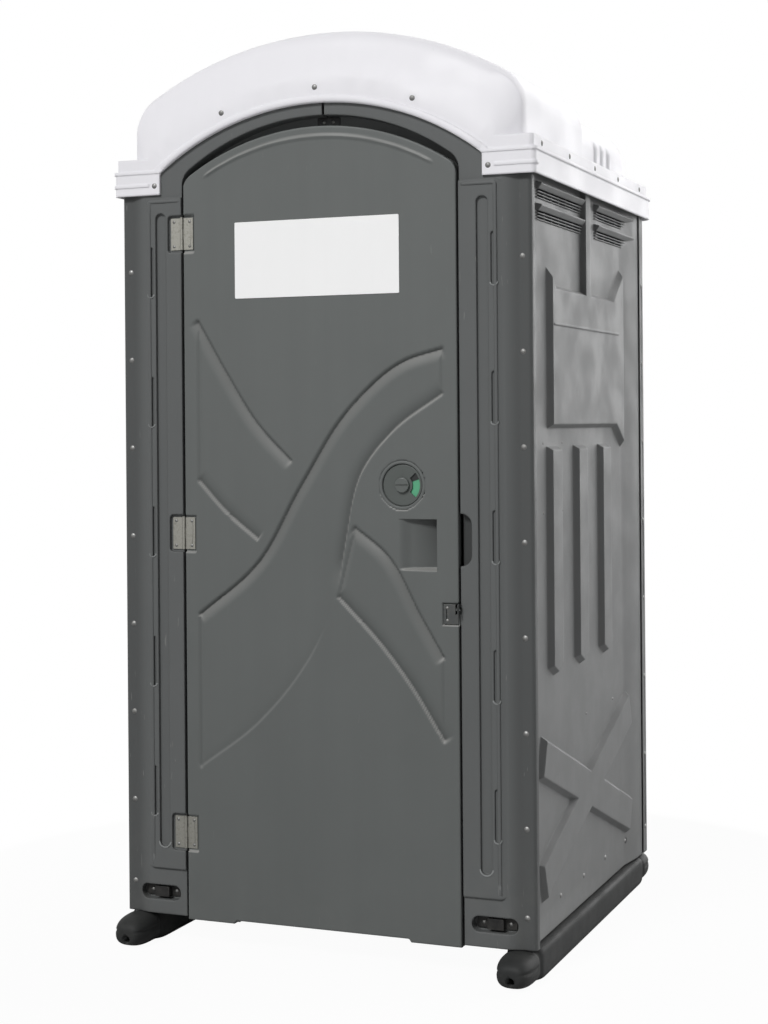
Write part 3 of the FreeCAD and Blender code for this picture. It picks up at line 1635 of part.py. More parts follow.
def vent_stack():
    """The pipe that carries the tank's air up through the roof."""
    tube = rod(stack_radius, V(stack_x, stack_y, deck_top_z), V(stack_x, stack_y, stack_top))
    return tube.cut(rod(stack_radius - stack_wall, V(stack_x, stack_y, deck_top_z - 1),
                        V(stack_x, stack_y, stack_top + 1)))


def stack_collar():
    """A ring that seats the pipe on the tank's deck."""
    low = V(stack_x, stack_y, deck_top_z)
    high = V(stack_x, stack_y, deck_top_z + collar_height)
    return rod(collar_radius, low, high).cut(rod(stack_radius, low, high))


def stack_cap():
    """A rain cap on four legs that stand on the pipe's end."""
    low = V(stack_x, stack_y, stack_top)
    plate_low = low + V(0, 0, cap_leg)
    plate = Part.makeCone(cap_radius, cap_radius * 0.55, cap_height, plate_low)
    skirt = rod(cap_radius, plate_low - V(0, 0, 6), plate_low)
    skirt = skirt.cut(rod(cap_radius - 3, plate_low - V(0, 0, 7), plate_low))
    ring = rod(stack_radius, low, low + V(0, 0, 3)).cut(
        rod(stack_radius - stack_wall, low - V(0, 0, 1), low + V(0, 0, 4)))
    legs = []
    for quarter in range(4):
        turn = math.pi / 2 * quarter + math.pi / 4
        radius = stack_radius - stack_wall / 2
        foot = low + V(radius * math.cos(turn), radius * math.sin(turn), 2)
        legs.append(rod(1.4, foot, foot + V(0, 0, cap_leg)))
    return join([plate, skirt, ring] + legs)


# Tank, seat and lid

def oval(half_x, half_y, centre_y, z0, z1):
    """An upright oval block."""
    ellipse = Part.Ellipse(V(0, centre_y + half_y, z0), V(half_x, centre_y, z0), V(0, centre_y, z0))
    return Part.Face(Part.Wire(ellipse.toShape())).extrude(V(0, 0, z1 - z0))


def tank_form(inset, z0, z1):
    """The tank's outline with a sloped front."""
    points = [(tank_front + inset, z1), (tank_front + tank_front_slope + inset, z0),
              (tank_rear - inset, z0), (tank_rear - inset, z1)]
    return prism("yz", points, -tank_half_width + inset, tank_half_width - inset)


def waste_tank():
    """The holding tank, whose top is the seat step."""
    top = deck_top_z
    shell = tank_form(0, deck_z, top).cut(
        tank_form(tank_sheet, deck_z + tank_sheet, top - tank_sheet))
    holes = [oval(seat_hole_half_width, seat_hole_half_length, seat_y, top - 2 * tank_sheet, top + 1),
             rod(stack_radius - stack_wall, V(stack_x, stack_y, top - 2 * tank_sheet),
                 V(stack_x, stack_y, top + 1)),
             rod(drain_radius, drain_point(top - 2 * tank_sheet), drain_point(top + 1))]
    return shell.cut(holes)


def seat_hinge_y():
    """Depth of the seat's hinge axis."""
    return seat_y + seat_half_length + seat_hinge_back


def seat_hinge_z():
    """Height of the seat's hinge axis."""
    return seat_z + seat_thickness + lid_gap


def seat_ring():
    """The seat with its buffers and two hinge arms."""
    ring = oval(seat_half_width, seat_half_length, seat_y, seat_z, seat_z + seat_thickness)
    hole = oval(seat_hole_half_width + 12, seat_hole_half_length + 15, seat_y, seat_z - 1,
                seat_z + seat_thickness + 1)
    parts = [ring]
    for side in (-1, 1):
        x = side * seat_hinge_spread
        half = seat_hinge_block_width / 2
        parts.append(box(x - half, x + half, seat_y + seat_half_length * 0.7, seat_hinge_y(),
                         seat_z, seat_hinge_z() - 0.5))
        parts.append(rod(seat_hinge_radius + 5, V(x - half, seat_hinge_y(), seat_hinge_z()),
                         V(x + half, seat_hinge_y(), seat_hinge_z())))
    for x in (-seat_buffer_x, seat_buffer_x):
        for y in (seat_y - seat_buffer_y, seat_y + seat_buffer_y):
            parts.append(rod(seat_buffer_radius, V(x, y, deck_top_z + 0.3), V(x, y, seat_z + 1)))
    bore = rod(seat_hinge_radius + seat_hinge_bore_play, V(-half_width, seat_hinge_y(), seat_hinge_z()),
               V(half_width, seat_hinge_y(), seat_hinge_z()))
    return join(parts).cut([hole, bore])


def seat_lid():
    """The lid, drawn closed and then turned back to its open rest."""
    z0 = seat_z + seat_thickness + lid_gap
    lid = oval(seat_half_width, seat_half_length, seat_y, z0, z0 + lid_thickness)
    parts = [lid]
    for side in (-1, 1):
        x = side * (seat_hinge_spread + seat_hinge_block_width + 2)
        half = seat_hinge_block_width / 2
        parts.append(box(x - half, x + half, seat_y + seat_half_length * 0.6, seat_hinge_y(),
                         z0, z0 + lid_thickness))
        parts.append(rod(seat_hinge_radius + 5, V(x - half, seat_hinge_y(), seat_hinge_z()),
                         V(x + half, seat_hinge_y(), seat_hinge_z())))
    bore = rod(seat_hinge_radius + seat_hinge_bore_play, V(-half_width, seat_hinge_y(), seat_hinge_z()),
               V(half_width, seat_hinge_y(), seat_hinge_z()))
    lid = join(parts).cut(bore)
    lid.rotate(V(0, seat_hinge_y(), seat_hinge_z()), V(1, 0, 0), -lid_open_angle)
    return lid


def seat_hinge():
    """The fixed hinge rod and the two posts that hold it to the deck."""
    y, z = seat_hinge_y(), seat_hinge_z()
    half = seat_post_half_width
    reach = seat_hinge_spread + 2.5 * seat_hinge_block_width + half
    bar = rod(seat_hinge_radius, V(-reach, y, z), V(reach, y, z))
    parts = [bar]
    for side in (-1, 1):
        x = side * (reach - half)
        parts.append(box(x - half, x + half, y - seat_post_half_depth, y + seat_post_half_depth,
                         deck_top_z, z))
        parts.append(rod(seat_post_half_depth, V(x - half, y, z), V(x + half, y, z)))
        parts.append(box(x - seat_foot_half, x + seat_foot_half, y - seat_foot_half,
                         y + seat_foot_half, deck_top_z, deck_top_z + seat_foot))
    return join(parts)


# Urinal

def drain_point(z):
    """A point on the drain pipe's axis."""
    x = -field_in + urinal_reach * 0.45
    return V(x, urinal_y, z)


def urinal_places():
    """Screws of the urinal, from outside the wall."""
    return [(V(-field_x, urinal_y + dy, z), V(-1, 0, 0), 2 * sheet)
            for dy in (urinal_screw_inset - urinal_half_width, urinal_half_width - urinal_screw_inset)
            for z in (urinal_top - urinal_screw_drop,
                      urinal_top - urinal_screw_drop - urinal_screw_pitch)]


def urinal_form(inset, top):
    """The basin: half oval in plan, narrowing towards the drain."""
    wires = []
    for share, z in ((0.5, urinal_bottom + inset), (0.9, urinal_bottom + 110), (1.0, top)):
        half = urinal_half_width * share - inset
        reach = urinal_reach * share - inset
        x0 = -field_in + (0 if inset == 0 else inset)
        start = V(x0, urinal_y - half, z)
        end = V(x0, urinal_y + half, z)
        middle = V(x0 + reach, urinal_y, z)
        wires.append(Part.Wire([Part.Arc(start, middle, end).toShape(), Part.makeLine(end, start)]))
    return Part.makeLoft(wires, True, True)


def urinal():
    """A wall basin with a tall back plate and a drain spout."""
    basin_top = urinal_top - urinal_back_height
    basin = urinal_form(0, basin_top).cut(urinal_form(urinal_sheet, basin_top + 1))
    back = round_slab("yz", urinal_y - urinal_half_width, urinal_y + urinal_half_width,
                      urinal_bottom + 100, urinal_top, 40, -field_in, -field_in + urinal_sheet)
    spout = rod(drain_radius + 4, drain_point(urinal_bottom - 30), drain_point(urinal_bottom + 2))
    hole = rod(drain_radius, drain_point(urinal_bottom - 31), drain_point(urinal_bottom + 20))
    return drilled(join([basin, back, spout]).cut(hole), urinal_places())


def urinal_drain():
    """The straight pipe from the basin into the tank."""
    pipe = rod(drain_radius, drain_point(deck_top_z - tank_sheet), drain_point(urinal_bottom - 2))
    pipe = pipe.cut(rod(drain_radius - drain_wall, drain_point(deck_top_z - 10),
                        drain_point(urinal_bottom)))
    return pipe


# Paper holder

def holder_places():
    """Screws of the paper holder, from outside the wall."""
    return [(V(field_x, holder_y + dy, holder_z + holder_screw_rise), V(1, 0, 0), 2 * sheet)
            for dy in (-holder_screw_half_spacing, holder_screw_half_spacing)]


def roll_axis(y):
    """A point on the paper rolls' axis."""
    return V(field_in - holder_depth + roll_radius + 12, y, holder_z)


def paper_holder():
    """A back plate with two end cheeks."""
    y0, y1 = holder_y - holder_half_length, holder_y + holder_half_length
    back = round_slab("yz", y0, y1, holder_z + holder_screw_rise - 15, holder_z + holder_back_rise, 10,
                      field_in - holder_sheet, field_in)
    parts = [back]
    for low, high in ((y0, y0 + holder_sheet), (y1 - holder_sheet, y1)):
        parts.append(round_slab("xz", roll_axis(0).x - 24, field_in, holder_z - 30, holder_z + 30, 10,
                                low, high))
    holder = join(parts)
    bar_hole = rod(bar_radius, roll_axis(y0 - 1), roll_axis(y1 + 1))
    return drilled(holder.cut(bar_hole), holder_places())


def holder_bar():
    """The bar that the rolls turn on."""
    y0, y1 = holder_y - holder_half_length, holder_y + holder_half_length
    heads = [rod(bar_radius + 4, roll_axis(y0 - 3), roll_axis(y0)),
             rod(bar_radius + 4, roll_axis(y1), roll_axis(y1 + 3))]
    return join([rod(bar_radius, roll_axis(y0), roll_axis(y1))] + heads)


def paper_roll(index):
    """A wound roll on its card core."""
    half = roll_length + roll_gap / 2
    y0 = holder_y - half + index * (roll_length + roll_gap)
    drop = V(0, 0, -(roll_bore - bar_radius) + 0.4)
    roll = rod(roll_radius, roll_axis(y0) + drop, roll_axis(y0 + roll_length) + drop)
    return roll.cut(rod(roll_bore, roll_axis(y0 - 1) + drop, roll_axis(y0 + roll_length + 1) + drop))


# Dispenser

def dispenser_places():
    """Screws of the dispenser, from outside the wall."""
    return [(V(field_x, dispenser_y + dy, dispenser_z + dz), V(1, 0, 0), sheet + dispenser_sheet)
            for dy in (-dispenser_screw_half_y, dispenser_screw_half_y)
            for dz in (-dispenser_screw_half_z, dispenser_screw_half_z)]


def dispenser_body():
    """A box with round corners, open below for the push plate."""
    x0, x1 = field_in - dispenser_depth, field_in
    y0, y1 = dispenser_y - dispenser_half_width, dispenser_y + dispenser_half_width
    z0 = dispenser_z - dispenser_height / 2
    z1 = dispenser_z + dispenser_height / 2
    body = round_slab("yz", y0, y1, z0, z1, 16, x0, x1)
    hollow = round_slab("yz", y0 + dispenser_sheet, y1 - dispenser_sheet, z0 + dispenser_sheet,
                        z1 - dispenser_sheet, 13, x0 + dispenser_sheet, x1 - dispenser_sheet)
    mouth = box(x0 - 1, x1 - 30, y0 + 12, y1 - 12, z0 - 1, z0 + push_height + push_gap)
    body = body.cut([hollow, mouth])
    lugs = []
    for low, high in ((y0 + 3, y0 + 12), (y1 - 12, y1 - 3)):
        lugs.append(box(x0 + 2, x0 + 20, low, high, z0 + 10, z0 + push_height + 10))
    pin_hole = rod(push_pin_radius + push_pin_play, push_axis(y0 + 5), push_axis(y1 - 5))
    body = join([body] + lugs).cut(pin_hole)
    return drilled(body, dispenser_places())


def push_axis(y):
    """A point on the push plate's hinge axis."""
    z0 = dispenser_z - dispenser_height / 2
    return V(field_in - dispenser_depth + 10, y, z0 + push_height - 6)


def dispenser_push():
    """The plate that a hand presses, on its own pin."""
    y0 = dispenser_y - dispenser_half_width + 12 + push_gap
    y1 = dispenser_y + dispenser_half_width - 12 - push_gap
    z0 = dispenser_z - dispenser_height / 2
    x0 = field_in - dispenser_depth
    plate = box(x0, x0 + push_thickness, y0, y1, z0 - 14, z0 + push_height - 6)
    knuckle = rod(push_thickness - 1, push_axis(y0), push_axis(y1))
    pin = rod(push_pin_radius, push_axis(y0 - 6), push_axis(y1 + 6))
    return join([plate, knuckle, pin])


def build():
    """Every node by name."""
    skid = skid_right()
    front_left, front_right = front_halves()
    wall_left, wall_right = drilled_walls()
    return {
        "skid_left": mirrored(skid),
        "skid_right": skid,
        "floor_pan": drilled(floor_pan(), base_places()),
        "front_panel_left": front_left,
        "front_panel_right": front_right,
        "header_joint_plate": header_joint_plate(),
        "header_screws": rivet_group(header_screw_places(), small_head_radius, small_head_height),
        "tie_down_bars": tie_bars(),
        "tie_down_rivets": rivet_group(tie_rivet_places(), 5.0, 2.0),
        "side_wall_left": wall_left,
        "side_wall_right": wall_right,
        "rear_wall": rear_wall(),
        "roof": roof(),
        "front_corner_rivets": rivet_group(front_corner_places()),
        "rear_corner_rivets": rivet_group(rear_corner_places()),
        "base_rivets": rivet_group(base_places()),
        "roof_side_rivets": rivet_group(roof_side_places()),
        "roof_rear_rivets": rivet_group(rear_roof_places()),
        "roof_rim_rivets": rivet_group(roof_rim_places()),
        "hinge_frame_leaves": hinge_frame_leaves(),
        "hinge_door_leaves": hinge_door_leaves(),
        "hinge_pins": hinge_pins(),
        "hinge_frame_rivets": rivet_group(hinge_rivet_places(-1), small_head_radius, small_head_height),
        "hinge_door_rivets": rivet_group(hinge_rivet_places(1), small_head_radius, small_head_height),
        "door_outer_shell": door_outer_shell(),
        "door_inner_shell": door_inner_shell(),
        "notice_plate": notice_plate(),
        "latch_escutcheon": latch_escutcheon(),
        "latch_bush": latch_bush(),
        "latch_dial": latch_dial(),
        "latch_cam": latch_cam(),
        "latch_lever": latch_lever(),
        "latch_keeper": latch_keeper(),
        "keeper_rivets": rivet_group(keeper_rivet_places(), small_head_radius, small_head_height),
        "hasp_door_tab": hasp_door_tab(),
        "hasp_door_rivets": rivet_group(hasp_door_places(), small_head_radius, small_head_height),
        "hasp_frame_tab": hasp_frame_tab(),
        "hasp_frame_rivets": rivet_group(hasp_frame_places(), small_head_radius, flat_head_height),
        "pull_handle": pull_handle(),
        "handle_screws": rivet_group(handle_places(), small_head_radius, small_head_height),
        "coat_hook": coat_hook(),
        "hook_screws": rivet_group(hook_places(), small_head_radius, small_head_height),
        "waste_tank": waste_tank(),
        "seat_ring": seat_ring(),
        "seat_lid": seat_lid(),
        "seat_hinge": seat_hinge(),
        "vent_stack": vent_stack(),
        "stack_collar": stack_collar(),
        "stack_cap": stack_cap(),
        "urinal": urinal(),
        "urinal_drain": urinal_drain(),
        "urinal_screws": rivet_group(urinal_places(), small_head_radius, small_head_height),
        "paper_holder": paper_holder(),
        "holder_bar": holder_bar(),
        "paper_roll_front": paper_roll(0),
        "paper_roll_rear": paper_roll(1),
        "dispenser_body": dispenser_body(),
        "dispenser_push": dispenser_push(),
        "wall_fitting_screws": rivet_group(holder_places() + dispenser_places(),
                                           small_head_radius, small_head_height),
    }


def main():
    os.makedirs("parts", exist_ok=True)
    for name, shape in build().items():
        print(name, len(shape.Solids), shape.isValid(), round(shape.Volume / 1000.0, 1))
        shape.translate(V(0, centre_shift, 0))
        shape.exportStep("parts/" + name + ".step")


main()
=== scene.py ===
import json
import math
import bpy
import numpy as np
from mathutils import Matrix, Vector


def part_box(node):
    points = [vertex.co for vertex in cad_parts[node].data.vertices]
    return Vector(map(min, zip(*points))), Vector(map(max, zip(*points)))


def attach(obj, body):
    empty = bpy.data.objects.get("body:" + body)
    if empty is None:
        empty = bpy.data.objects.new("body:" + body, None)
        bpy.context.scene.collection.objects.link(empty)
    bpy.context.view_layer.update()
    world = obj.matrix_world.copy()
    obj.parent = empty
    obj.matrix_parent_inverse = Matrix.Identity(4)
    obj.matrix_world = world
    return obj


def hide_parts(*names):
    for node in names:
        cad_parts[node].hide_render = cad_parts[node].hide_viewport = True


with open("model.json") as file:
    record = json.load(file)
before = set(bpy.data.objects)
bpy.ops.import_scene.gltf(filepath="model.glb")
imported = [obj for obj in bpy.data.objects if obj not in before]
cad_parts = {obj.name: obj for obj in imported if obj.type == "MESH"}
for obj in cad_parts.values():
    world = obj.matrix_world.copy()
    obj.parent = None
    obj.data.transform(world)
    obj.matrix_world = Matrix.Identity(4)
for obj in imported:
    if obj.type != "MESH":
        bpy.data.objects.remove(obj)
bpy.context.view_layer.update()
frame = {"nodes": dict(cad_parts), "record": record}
nodes = frame["nodes"]
scene = bpy.context.scene

# Camera, fitted to the photograph's 768 x 1024 frame
photo_height = 1024
camera_focus = 1825.14
camera_drop = 88.74
camera_place = (1.8156, -4.6085, 1.3157)
camera_turn = math.radians(21.925)
camera_roll = -0.00784

# Light
sky_level = 0.15
front_light = 2.35
front_light_travels = (0.16, 0.75, -0.62)
front_light_softness = 14
side_light = 2.75
side_light_travels = (-0.5, -0.75, -0.3)
side_light_softness = 70
floor_glow = 0.96
floor_fade_from = 0.7
floor_fade_to = 1.5
floor_size = 60

# Softness of the moulded edges: the width that is cut, and the width that is only shaded round
wall_edge = 0.003
roof_edge = 0.004
skid_edge = 0.004
fitting_edge = 0.0008
wall_softness = 0.006
roof_softness = 0.007

# Door skin, in metres on the door's face: x across, z up
relief_rise = 0.004
skin_thickness = 0.034
skin_low, skin_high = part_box("door_outer_shell")
leaf_half = skin_high[0]
leaf_bottom = skin_low[2]
leaf_top = skin_high[2]
face_y = skin_low[1] + relief_rise
skin_back_y = face_y + skin_thickness
crown_radius = 0.640
shoulder_radius = 0.042
head_start = 1.75
toe_half = 0.230
toe_rise = 0.008
toe_slope = 0.006
toe_run = 0.06
edge_round = 0.004
edge_lines = (0.0004, 0.0012, 0.0024)
grid_step = 0.004

# Raised arc under the door's head
arc_inset = 0.026
arc_reach = 0.310
arc_rise = 0.004
arc_half_width = 0.0055
arc_fade = 0.02
arc_lowest = 1.7

# Pressed borders: (points as shares of the half field and of the leaf's height, which side of the
# line is pressed in, depth, reach of the slope beyond the line, fade at the first and last end)
field_margin = 0.040
field_half = leaf_half - field_margin
pressed_borders = [
    ([(-1.0, 0.391), (-0.515, 0.455), (-0.136, 0.555), (0.265, 0.650), (0.704, 0.707), (1.0, 0.721)],
     -1, 0.0080, 0.030, 0.0, 0.0),
    ([(0.16, 0.425), (0.22, 0.485), (0.367, 0.575), (0.623, 0.624), (1.0, 0.666)],
     1, 0.0066, 0.034, 0.16, 0.0),
    ([(-1.0, 0.198), (-0.528, 0.255), (-0.093, 0.338), (0.10, 0.395)],
     1, 0.0016, 0.024, 0.0, 0.25),
    ([(-1.0, 0.762), (-0.744, 0.692), (-0.503, 0.633), (-0.205, 0.583)],
     -1, 0.0076, 0.032, 0.0, 0.02),
    ([(-1.0, 0.560), (-0.753, 0.519), (-0.494, 0.486)],
     1, 0.0068, 0.036, 0.0, 0.02),
    ([(0.306, 0.503), (0.537, 0.474), (0.836, 0.393), (1.0, 0.348)],
     -1, 0.0076, 0.032, 0.0, 0.0),
    ([(0.17, 0.417), (0.531, 0.357), (0.735, 0.315), (1.0, 0.248)],
     1, 0.0068, 0.036, 0.0, 0.0),
    ([(0.17, 0.417), (0.306, 0.503)], -1, 0.0035, 0.014, 0.0, 0.0),
    ([(-1.0, 0.560), (-1.0, 0.762)], -1, 0.0030, 0.010, 0.0, 0.0),
    ([(-1.0, 0.198), (-1.0, 0.391)], -1, 0.0030, 0.010, 0.0, 0.0),
    ([(1.0, 0.666), (1.0, 0.721)], 1, 0.0022, 0.010, 0.0, 0.0),
    ([(1.0, 0.248), (1.0, 0.348)], 1, 0.0022, 0.010, 0.0, 0.0),
]
groove_wall = 0.0042
groove_end = 0.008

# Painted shade in the hollows of the door's face, and painted highlight on its edges that face up
groove_shade_amount = 0.55
groove_shade_depth = 0.008
groove_shade_power = 1.5
pull_shade_amount = 0.75
pull_shade_power = 1.2
pull_shade_low = 0.45
pull_shade_start = 0.6
highlight_share = 0.5
highlight_slope = 0.7

# Painted shade on the front's outer flanges and in the finger scoop of its latch jamb
flange_inner, flange_outer = 0.470, 0.515
flange_shade_amount = 0.42
scoop_side = 0.412
scoop_low, scoop_high = 0.950, 1.110
scoop_shade_amount = 0.8

# Finger pull, latch seat, padlock recess and hinge seats in the door's face
pocket_wall = 0.0006
pull_left, pull_right = 0.212, 0.310
pull_bottom, pull_top = 0.962, 1.086
pull_depth = 0.030
pull_entry_depth = 0.009
pull_entry_run = 0.03
pull_slope_power = 1.3
pull_lip = 0.007
latch_x, latch_z = 0.222, 1.167
seat_radius = 0.0515
seat_depth = 0.008
seat_hole_margin = 0.006
seat_hole_depth = 0.012
hasp_left = 0.322
hasp_bottom, hasp_top = 0.834, 0.888
hasp_depth = 0.005
hinge_reach = -0.332
hinge_half_height = 0.047
hinge_depth = 0.0076
hinge_lowest = 0.290
hinge_pitch = 0.753
hinge_count = 3

# Skids
skid_turns = 96
nose_length = 0.075
nose_steps = 14
nose_fullness = 2.3
nose_tip_share = 0.42
nose_taper_power = 0.85
nose_rise = 0.62
nose_fall = 0.9
nose_squareness = 2.7
rail_squareness = 6.5
square_from = 0.085
square_run = 0.06
nose_neck = 0.104
neck_depth = 0.005
neck_half_length = 0.010
neck_crest_share = 0.8
fine_step = 0.004
fine_count = 19
coarse_step = 0.03
split_height = 0.043
split_depth = 0.0032
split_half_height = 0.003
split_end = 0.075
split_run = 0.02
tow_height = 0.024
tow_radius = 0.011
tow_depth = 0.055
tow_turns = 32

# Bead round the arched front of the roof
rim_half = 0.430
rim_top_z = 2.099
rim_radius = 0.700
bead_width = 0.018
bead_rise = 0.006
bead_stand = 0.0025
bead_around = 10
bead_fullness = 0.7
bead_fade_steps = 4
bead_end_share = 0.05
bead_root = 0.002
rim_steps = 48

# Rounded ridge along the outer edge and the top of each jamb
ridge_x = 0.4655
ridge_bottom = 0.205
ridge_top = 1.8845
ridge_end = 0.373
ridge_corner = 0.008
ridge_width = 0.009
ridge_rise = 0.0022
ridge_sink = 0.0002
ridge_side_steps = 60
ridge_corner_steps = 8
ridge_top_steps = 12

# Rounded lip under the lower end of each pressed slot and channel of the jambs
slot_x = 0.457
slot_half_width = 0.007
slot_low_first = 1.640
slot_pitch = 0.328
slot_count = 5
channel_x = 0.4285
channel_half_width = 0.0145
channel_low = 0.250
lip_width = 0.004
lip_rise = 0.0022
lip_steps = 16


def add_camera():
    """The camera that looks at the cabin as the photograph does."""
    camera = bpy.data.cameras.new("camera")
    camera.sensor_width = 36
    camera.lens = camera_focus / photo_height * camera.sensor_width
    camera.shift_y = -camera_drop / photo_height
    camera.clip_end = 100
    stand = bpy.data.objects.new("camera", camera)
    turn = Matrix.Rotation(camera_turn, 4, "Z")
    level = Matrix.Rotation(math.pi / 2, 4, "X")
    roll = Matrix.Rotation(camera_roll, 4, "Z")
    stand.matrix_world = Matrix.Translation(camera_place) @ turn @ level @ roll
    scene.collection.objects.link(stand)
    scene.camera = stand


def add_lamp(name, travels, strength, softness):
    """A soft distant lamp whose light travels along a direction."""
    lamp = bpy.data.lights.new(name, "SUN")
    lamp.energy = strength
    lamp.angle = math.radians(softness)
    stand = bpy.data.objects.new(name, lamp)
    stand.rotation_euler = Vector(travels).to_track_quat("-Z", "Y").to_euler()
    scene.collection.objects.link(stand)


# Node helpers

def node(tree, kind, inputs=None, **settings):
    """A shader node with its settings, and its inputs as values or as sockets that feed it."""
    made = tree.nodes.new("ShaderNode" + kind)
    for name, value in settings.items():
        setattr(made, name, value)
    for name, value in (inputs or {}).items():
        if isinstance(value, bpy.types.NodeSocket):
            tree.links.new(value, made.inputs[name])
        else:
            made.inputs[name].default_value = value
    return made


def maths(tree, operation, first, second=0.0):
    """The result of a sum on values or sockets."""
    made = tree.nodes.new("ShaderNodeMath")
    made.operation = operation
    for socket, value in zip(made.inputs, (first, second)):
        if isinstance(value, bpy.types.NodeSocket):
            tree.links.new(value, socket)
        else:
            socket.default_value = value
    return made.outputs[0]


def blend(tree, share, first, second, mode="MIX"):
    """One colour mixed over another by a share."""
    made = tree.nodes.new("ShaderNodeMix")
    made.data_type = "RGBA"
    made.blend_type = mode
    for index, value in ((0, share), (6, first), (7, second)):
        if isinstance(value, bpy.types.NodeSocket):
            tree.links.new(value, made.inputs[index])
        else:
            made.inputs[index].default_value = value
    return made.outputs[2]


def spread(tree, value, low, high, to_low=0.0, to_high=1.0):
    """A value taken from one range to another, and kept inside it."""
    return node(tree, "MapRange", {"Value": value, "From Min": low, "From Max": high,
                                   "To Min": to_low, "To Max": to_high},
                interpolation_type="SMOOTHSTEP").outputs["Result"]


def place(tree, scale=(1.0, 1.0, 1.0)):
    """Points in metres on the piece, stretched by a scale."""
    points = node(tree, "TexCoord").outputs["Object"]
    return node(tree, "Mapping", {"Vector": points, "Scale": scale}).outputs["Vector"]


def group(name, inputs, outputs):
    """An empty shader group with named sockets."""
    tree = bpy.data.node_groups.new(name, "ShaderNodeTree")
    kinds = {float: "NodeSocketFloat", tuple: "NodeSocketColor"}
    for title, value in inputs.items():
        socket = tree.interface.new_socket(title, in_out="INPUT", socket_type=kinds[type(value)])
        socket.default_value = value
    for title, kind in outputs.items():
        tree.interface.new_socket(title, in_out="OUTPUT", socket_type=kind)
    return tree, tree.nodes.new("NodeGroupInput").outputs, tree.nodes.new("NodeGroupOutput").inputs


def place_group(tree, effect, inputs):
    """A shader group placed in a material with its own values."""
    made = tree.nodes.new("ShaderNodeGroup")
    made.node_tree = effect
    for name, value in inputs.items():
        if isinstance(value, bpy.types.NodeSocket):
            tree.links.new(value, made.inputs[name])
        else:
            made.inputs[name].default_value = value
    return made.outputs


def make_grain():
    """The fine pebbled skin of moulded polyethylene."""
    tree, given, out = group("moulding_grain", {"Scale": 900.0, "Depth": 1.0},
                             {"Height": "NodeSocketFloat"})
    where = place(tree)
    pebbles = node(tree, "TexVoronoi", {"Vector": where, "Scale": given["Scale"]},
                   feature="F1").outputs["Distance"]
    waves = node(tree, "TexNoise", {"Vector": where, "Scale": 14.0, "Detail": 3.0}).outputs["Fac"]
    height = maths(tree, "MULTIPLY", pebbles, 0.35)
    height = maths(tree, "ADD", height, waves)
    tree.links.new(maths(tree, "MULTIPLY", height, given["Depth"]), out["Height"])
    return tree


def make_drift():
    """Colour that drifts over a large moulding, with faint runs down it."""
    tree, given, out = group("colour_drift", {"Colour": (0.5, 0.5, 0.5, 1.0), "Amount": 0.1},
                             {"Colour": "NodeSocketColor"})
    clouds = node(tree, "TexNoise", {"Vector": place(tree), "Scale": 2.6, "Detail": 5.0,
                                     "Roughness": 0.62}).outputs["Fac"]
    runs = node(tree, "TexNoise", {"Vector": place(tree, (26.0, 26.0, 0.9)), "Scale": 1.0,
                                   "Detail": 4.0}).outputs["Fac"]
    mottle = maths(tree, "MULTIPLY_ADD", clouds, 1.2)
    mottle.node.inputs[2].default_value = -0.6
    streak = maths(tree, "MULTIPLY_ADD", runs, 0.7)
    streak.node.inputs[2].default_value = -0.35
    change = maths(tree, "MULTIPLY", maths(tree, "ADD", mottle, streak), given["Amount"])
    factor = maths(tree, "ADD", change, 1.0)
    grey = node(tree, "CombineXYZ", {"X": factor, "Y": factor, "Z": factor}).outputs[0]
    tree.links.new(blend(tree, 1.0, given["Colour"], grey, "MULTIPLY"), out["Colour"])
    return tree


def make_dust():
    """Dust and splashes that thin out with height and settle on ledges."""
    tree, given, out = group("settled_dust", {"Top": 0.45, "Amount": 0.5},
                             {"Mask": "NodeSocketFloat"})
    height = node(tree, "SeparateXYZ", {"Vector": place(tree)}).outputs["Z"]
    rise = spread(tree, height, 0.0, given["Top"], 1.0, 0.0)
    facing = node(tree, "SeparateXYZ",
                  {"Vector": node(tree, "NewGeometry").outputs["Normal"]}).outputs["Z"]
    ledge = spread(tree, facing, 0.25, 1.0, 0.0, 0.5)
    patches = node(tree, "TexNoise", {"Vector": place(tree), "Scale": 17.0, "Detail": 6.0,
                                      "Roughness": 0.7}).outputs["Fac"]
    cover = maths(tree, "MULTIPLY", spread(tree, patches, 0.32, 0.72), maths(tree, "ADD", rise, ledge))
    tree.links.new(maths(tree, "MULTIPLY", cover, given["Amount"]), out["Mask"])
    return tree


def make_scuffs():
    """Short thin scratches in a few directions."""
    tree, given, out = group("scuffs", {"Scale": 160.0, "Amount": 0.5}, {"Mask": "NodeSocketFloat"})
    marks = None
    for turn, stretch in ((0.5, 0.12), (-0.9, 0.16)):
        points = node(tree, "TexCoord").outputs["Object"]
        turned = node(tree, "Mapping", {"Vector": points, "Rotation": (turn, turn * 0.7, turn * 0.4),
                                        "Scale": (1.0, 1.0, stretch)}).outputs["Vector"]
        lines = node(tree, "TexNoise", {"Vector": turned, "Scale": given["Scale"], "Detail": 1.0,
                                        "Distortion": 0.3}).outputs["Fac"]
        thin = spread(tree, lines, 0.74, 0.8)
        marks = thin if marks is None else maths(tree, "MAXIMUM", marks, thin)
    where = node(tree, "TexNoise", {"Vector": place(tree), "Scale": 3.0, "Detail": 2.0}).outputs["Fac"]
    marks = maths(tree, "MULTIPLY", marks, spread(tree, where, 0.5, 0.66))
    tree.links.new(maths(tree, "MULTIPLY", marks, given["Amount"]), out["Mask"])
    return tree


grain = make_grain()
drift = make_drift()
dust = make_dust()
scuffs = make_scuffs()


def linear(level):
    """A screen colour from 0 to 1 as the shader takes it."""
    return level / 12.92 if level <= 0.04045 else ((level + 0.055) / 1.055) ** 2.4


def colour(*levels):
    """A colour from its three screen levels, each from 0 to 255."""
    return tuple(linear(level / 255) for level in levels) + (1.0,)


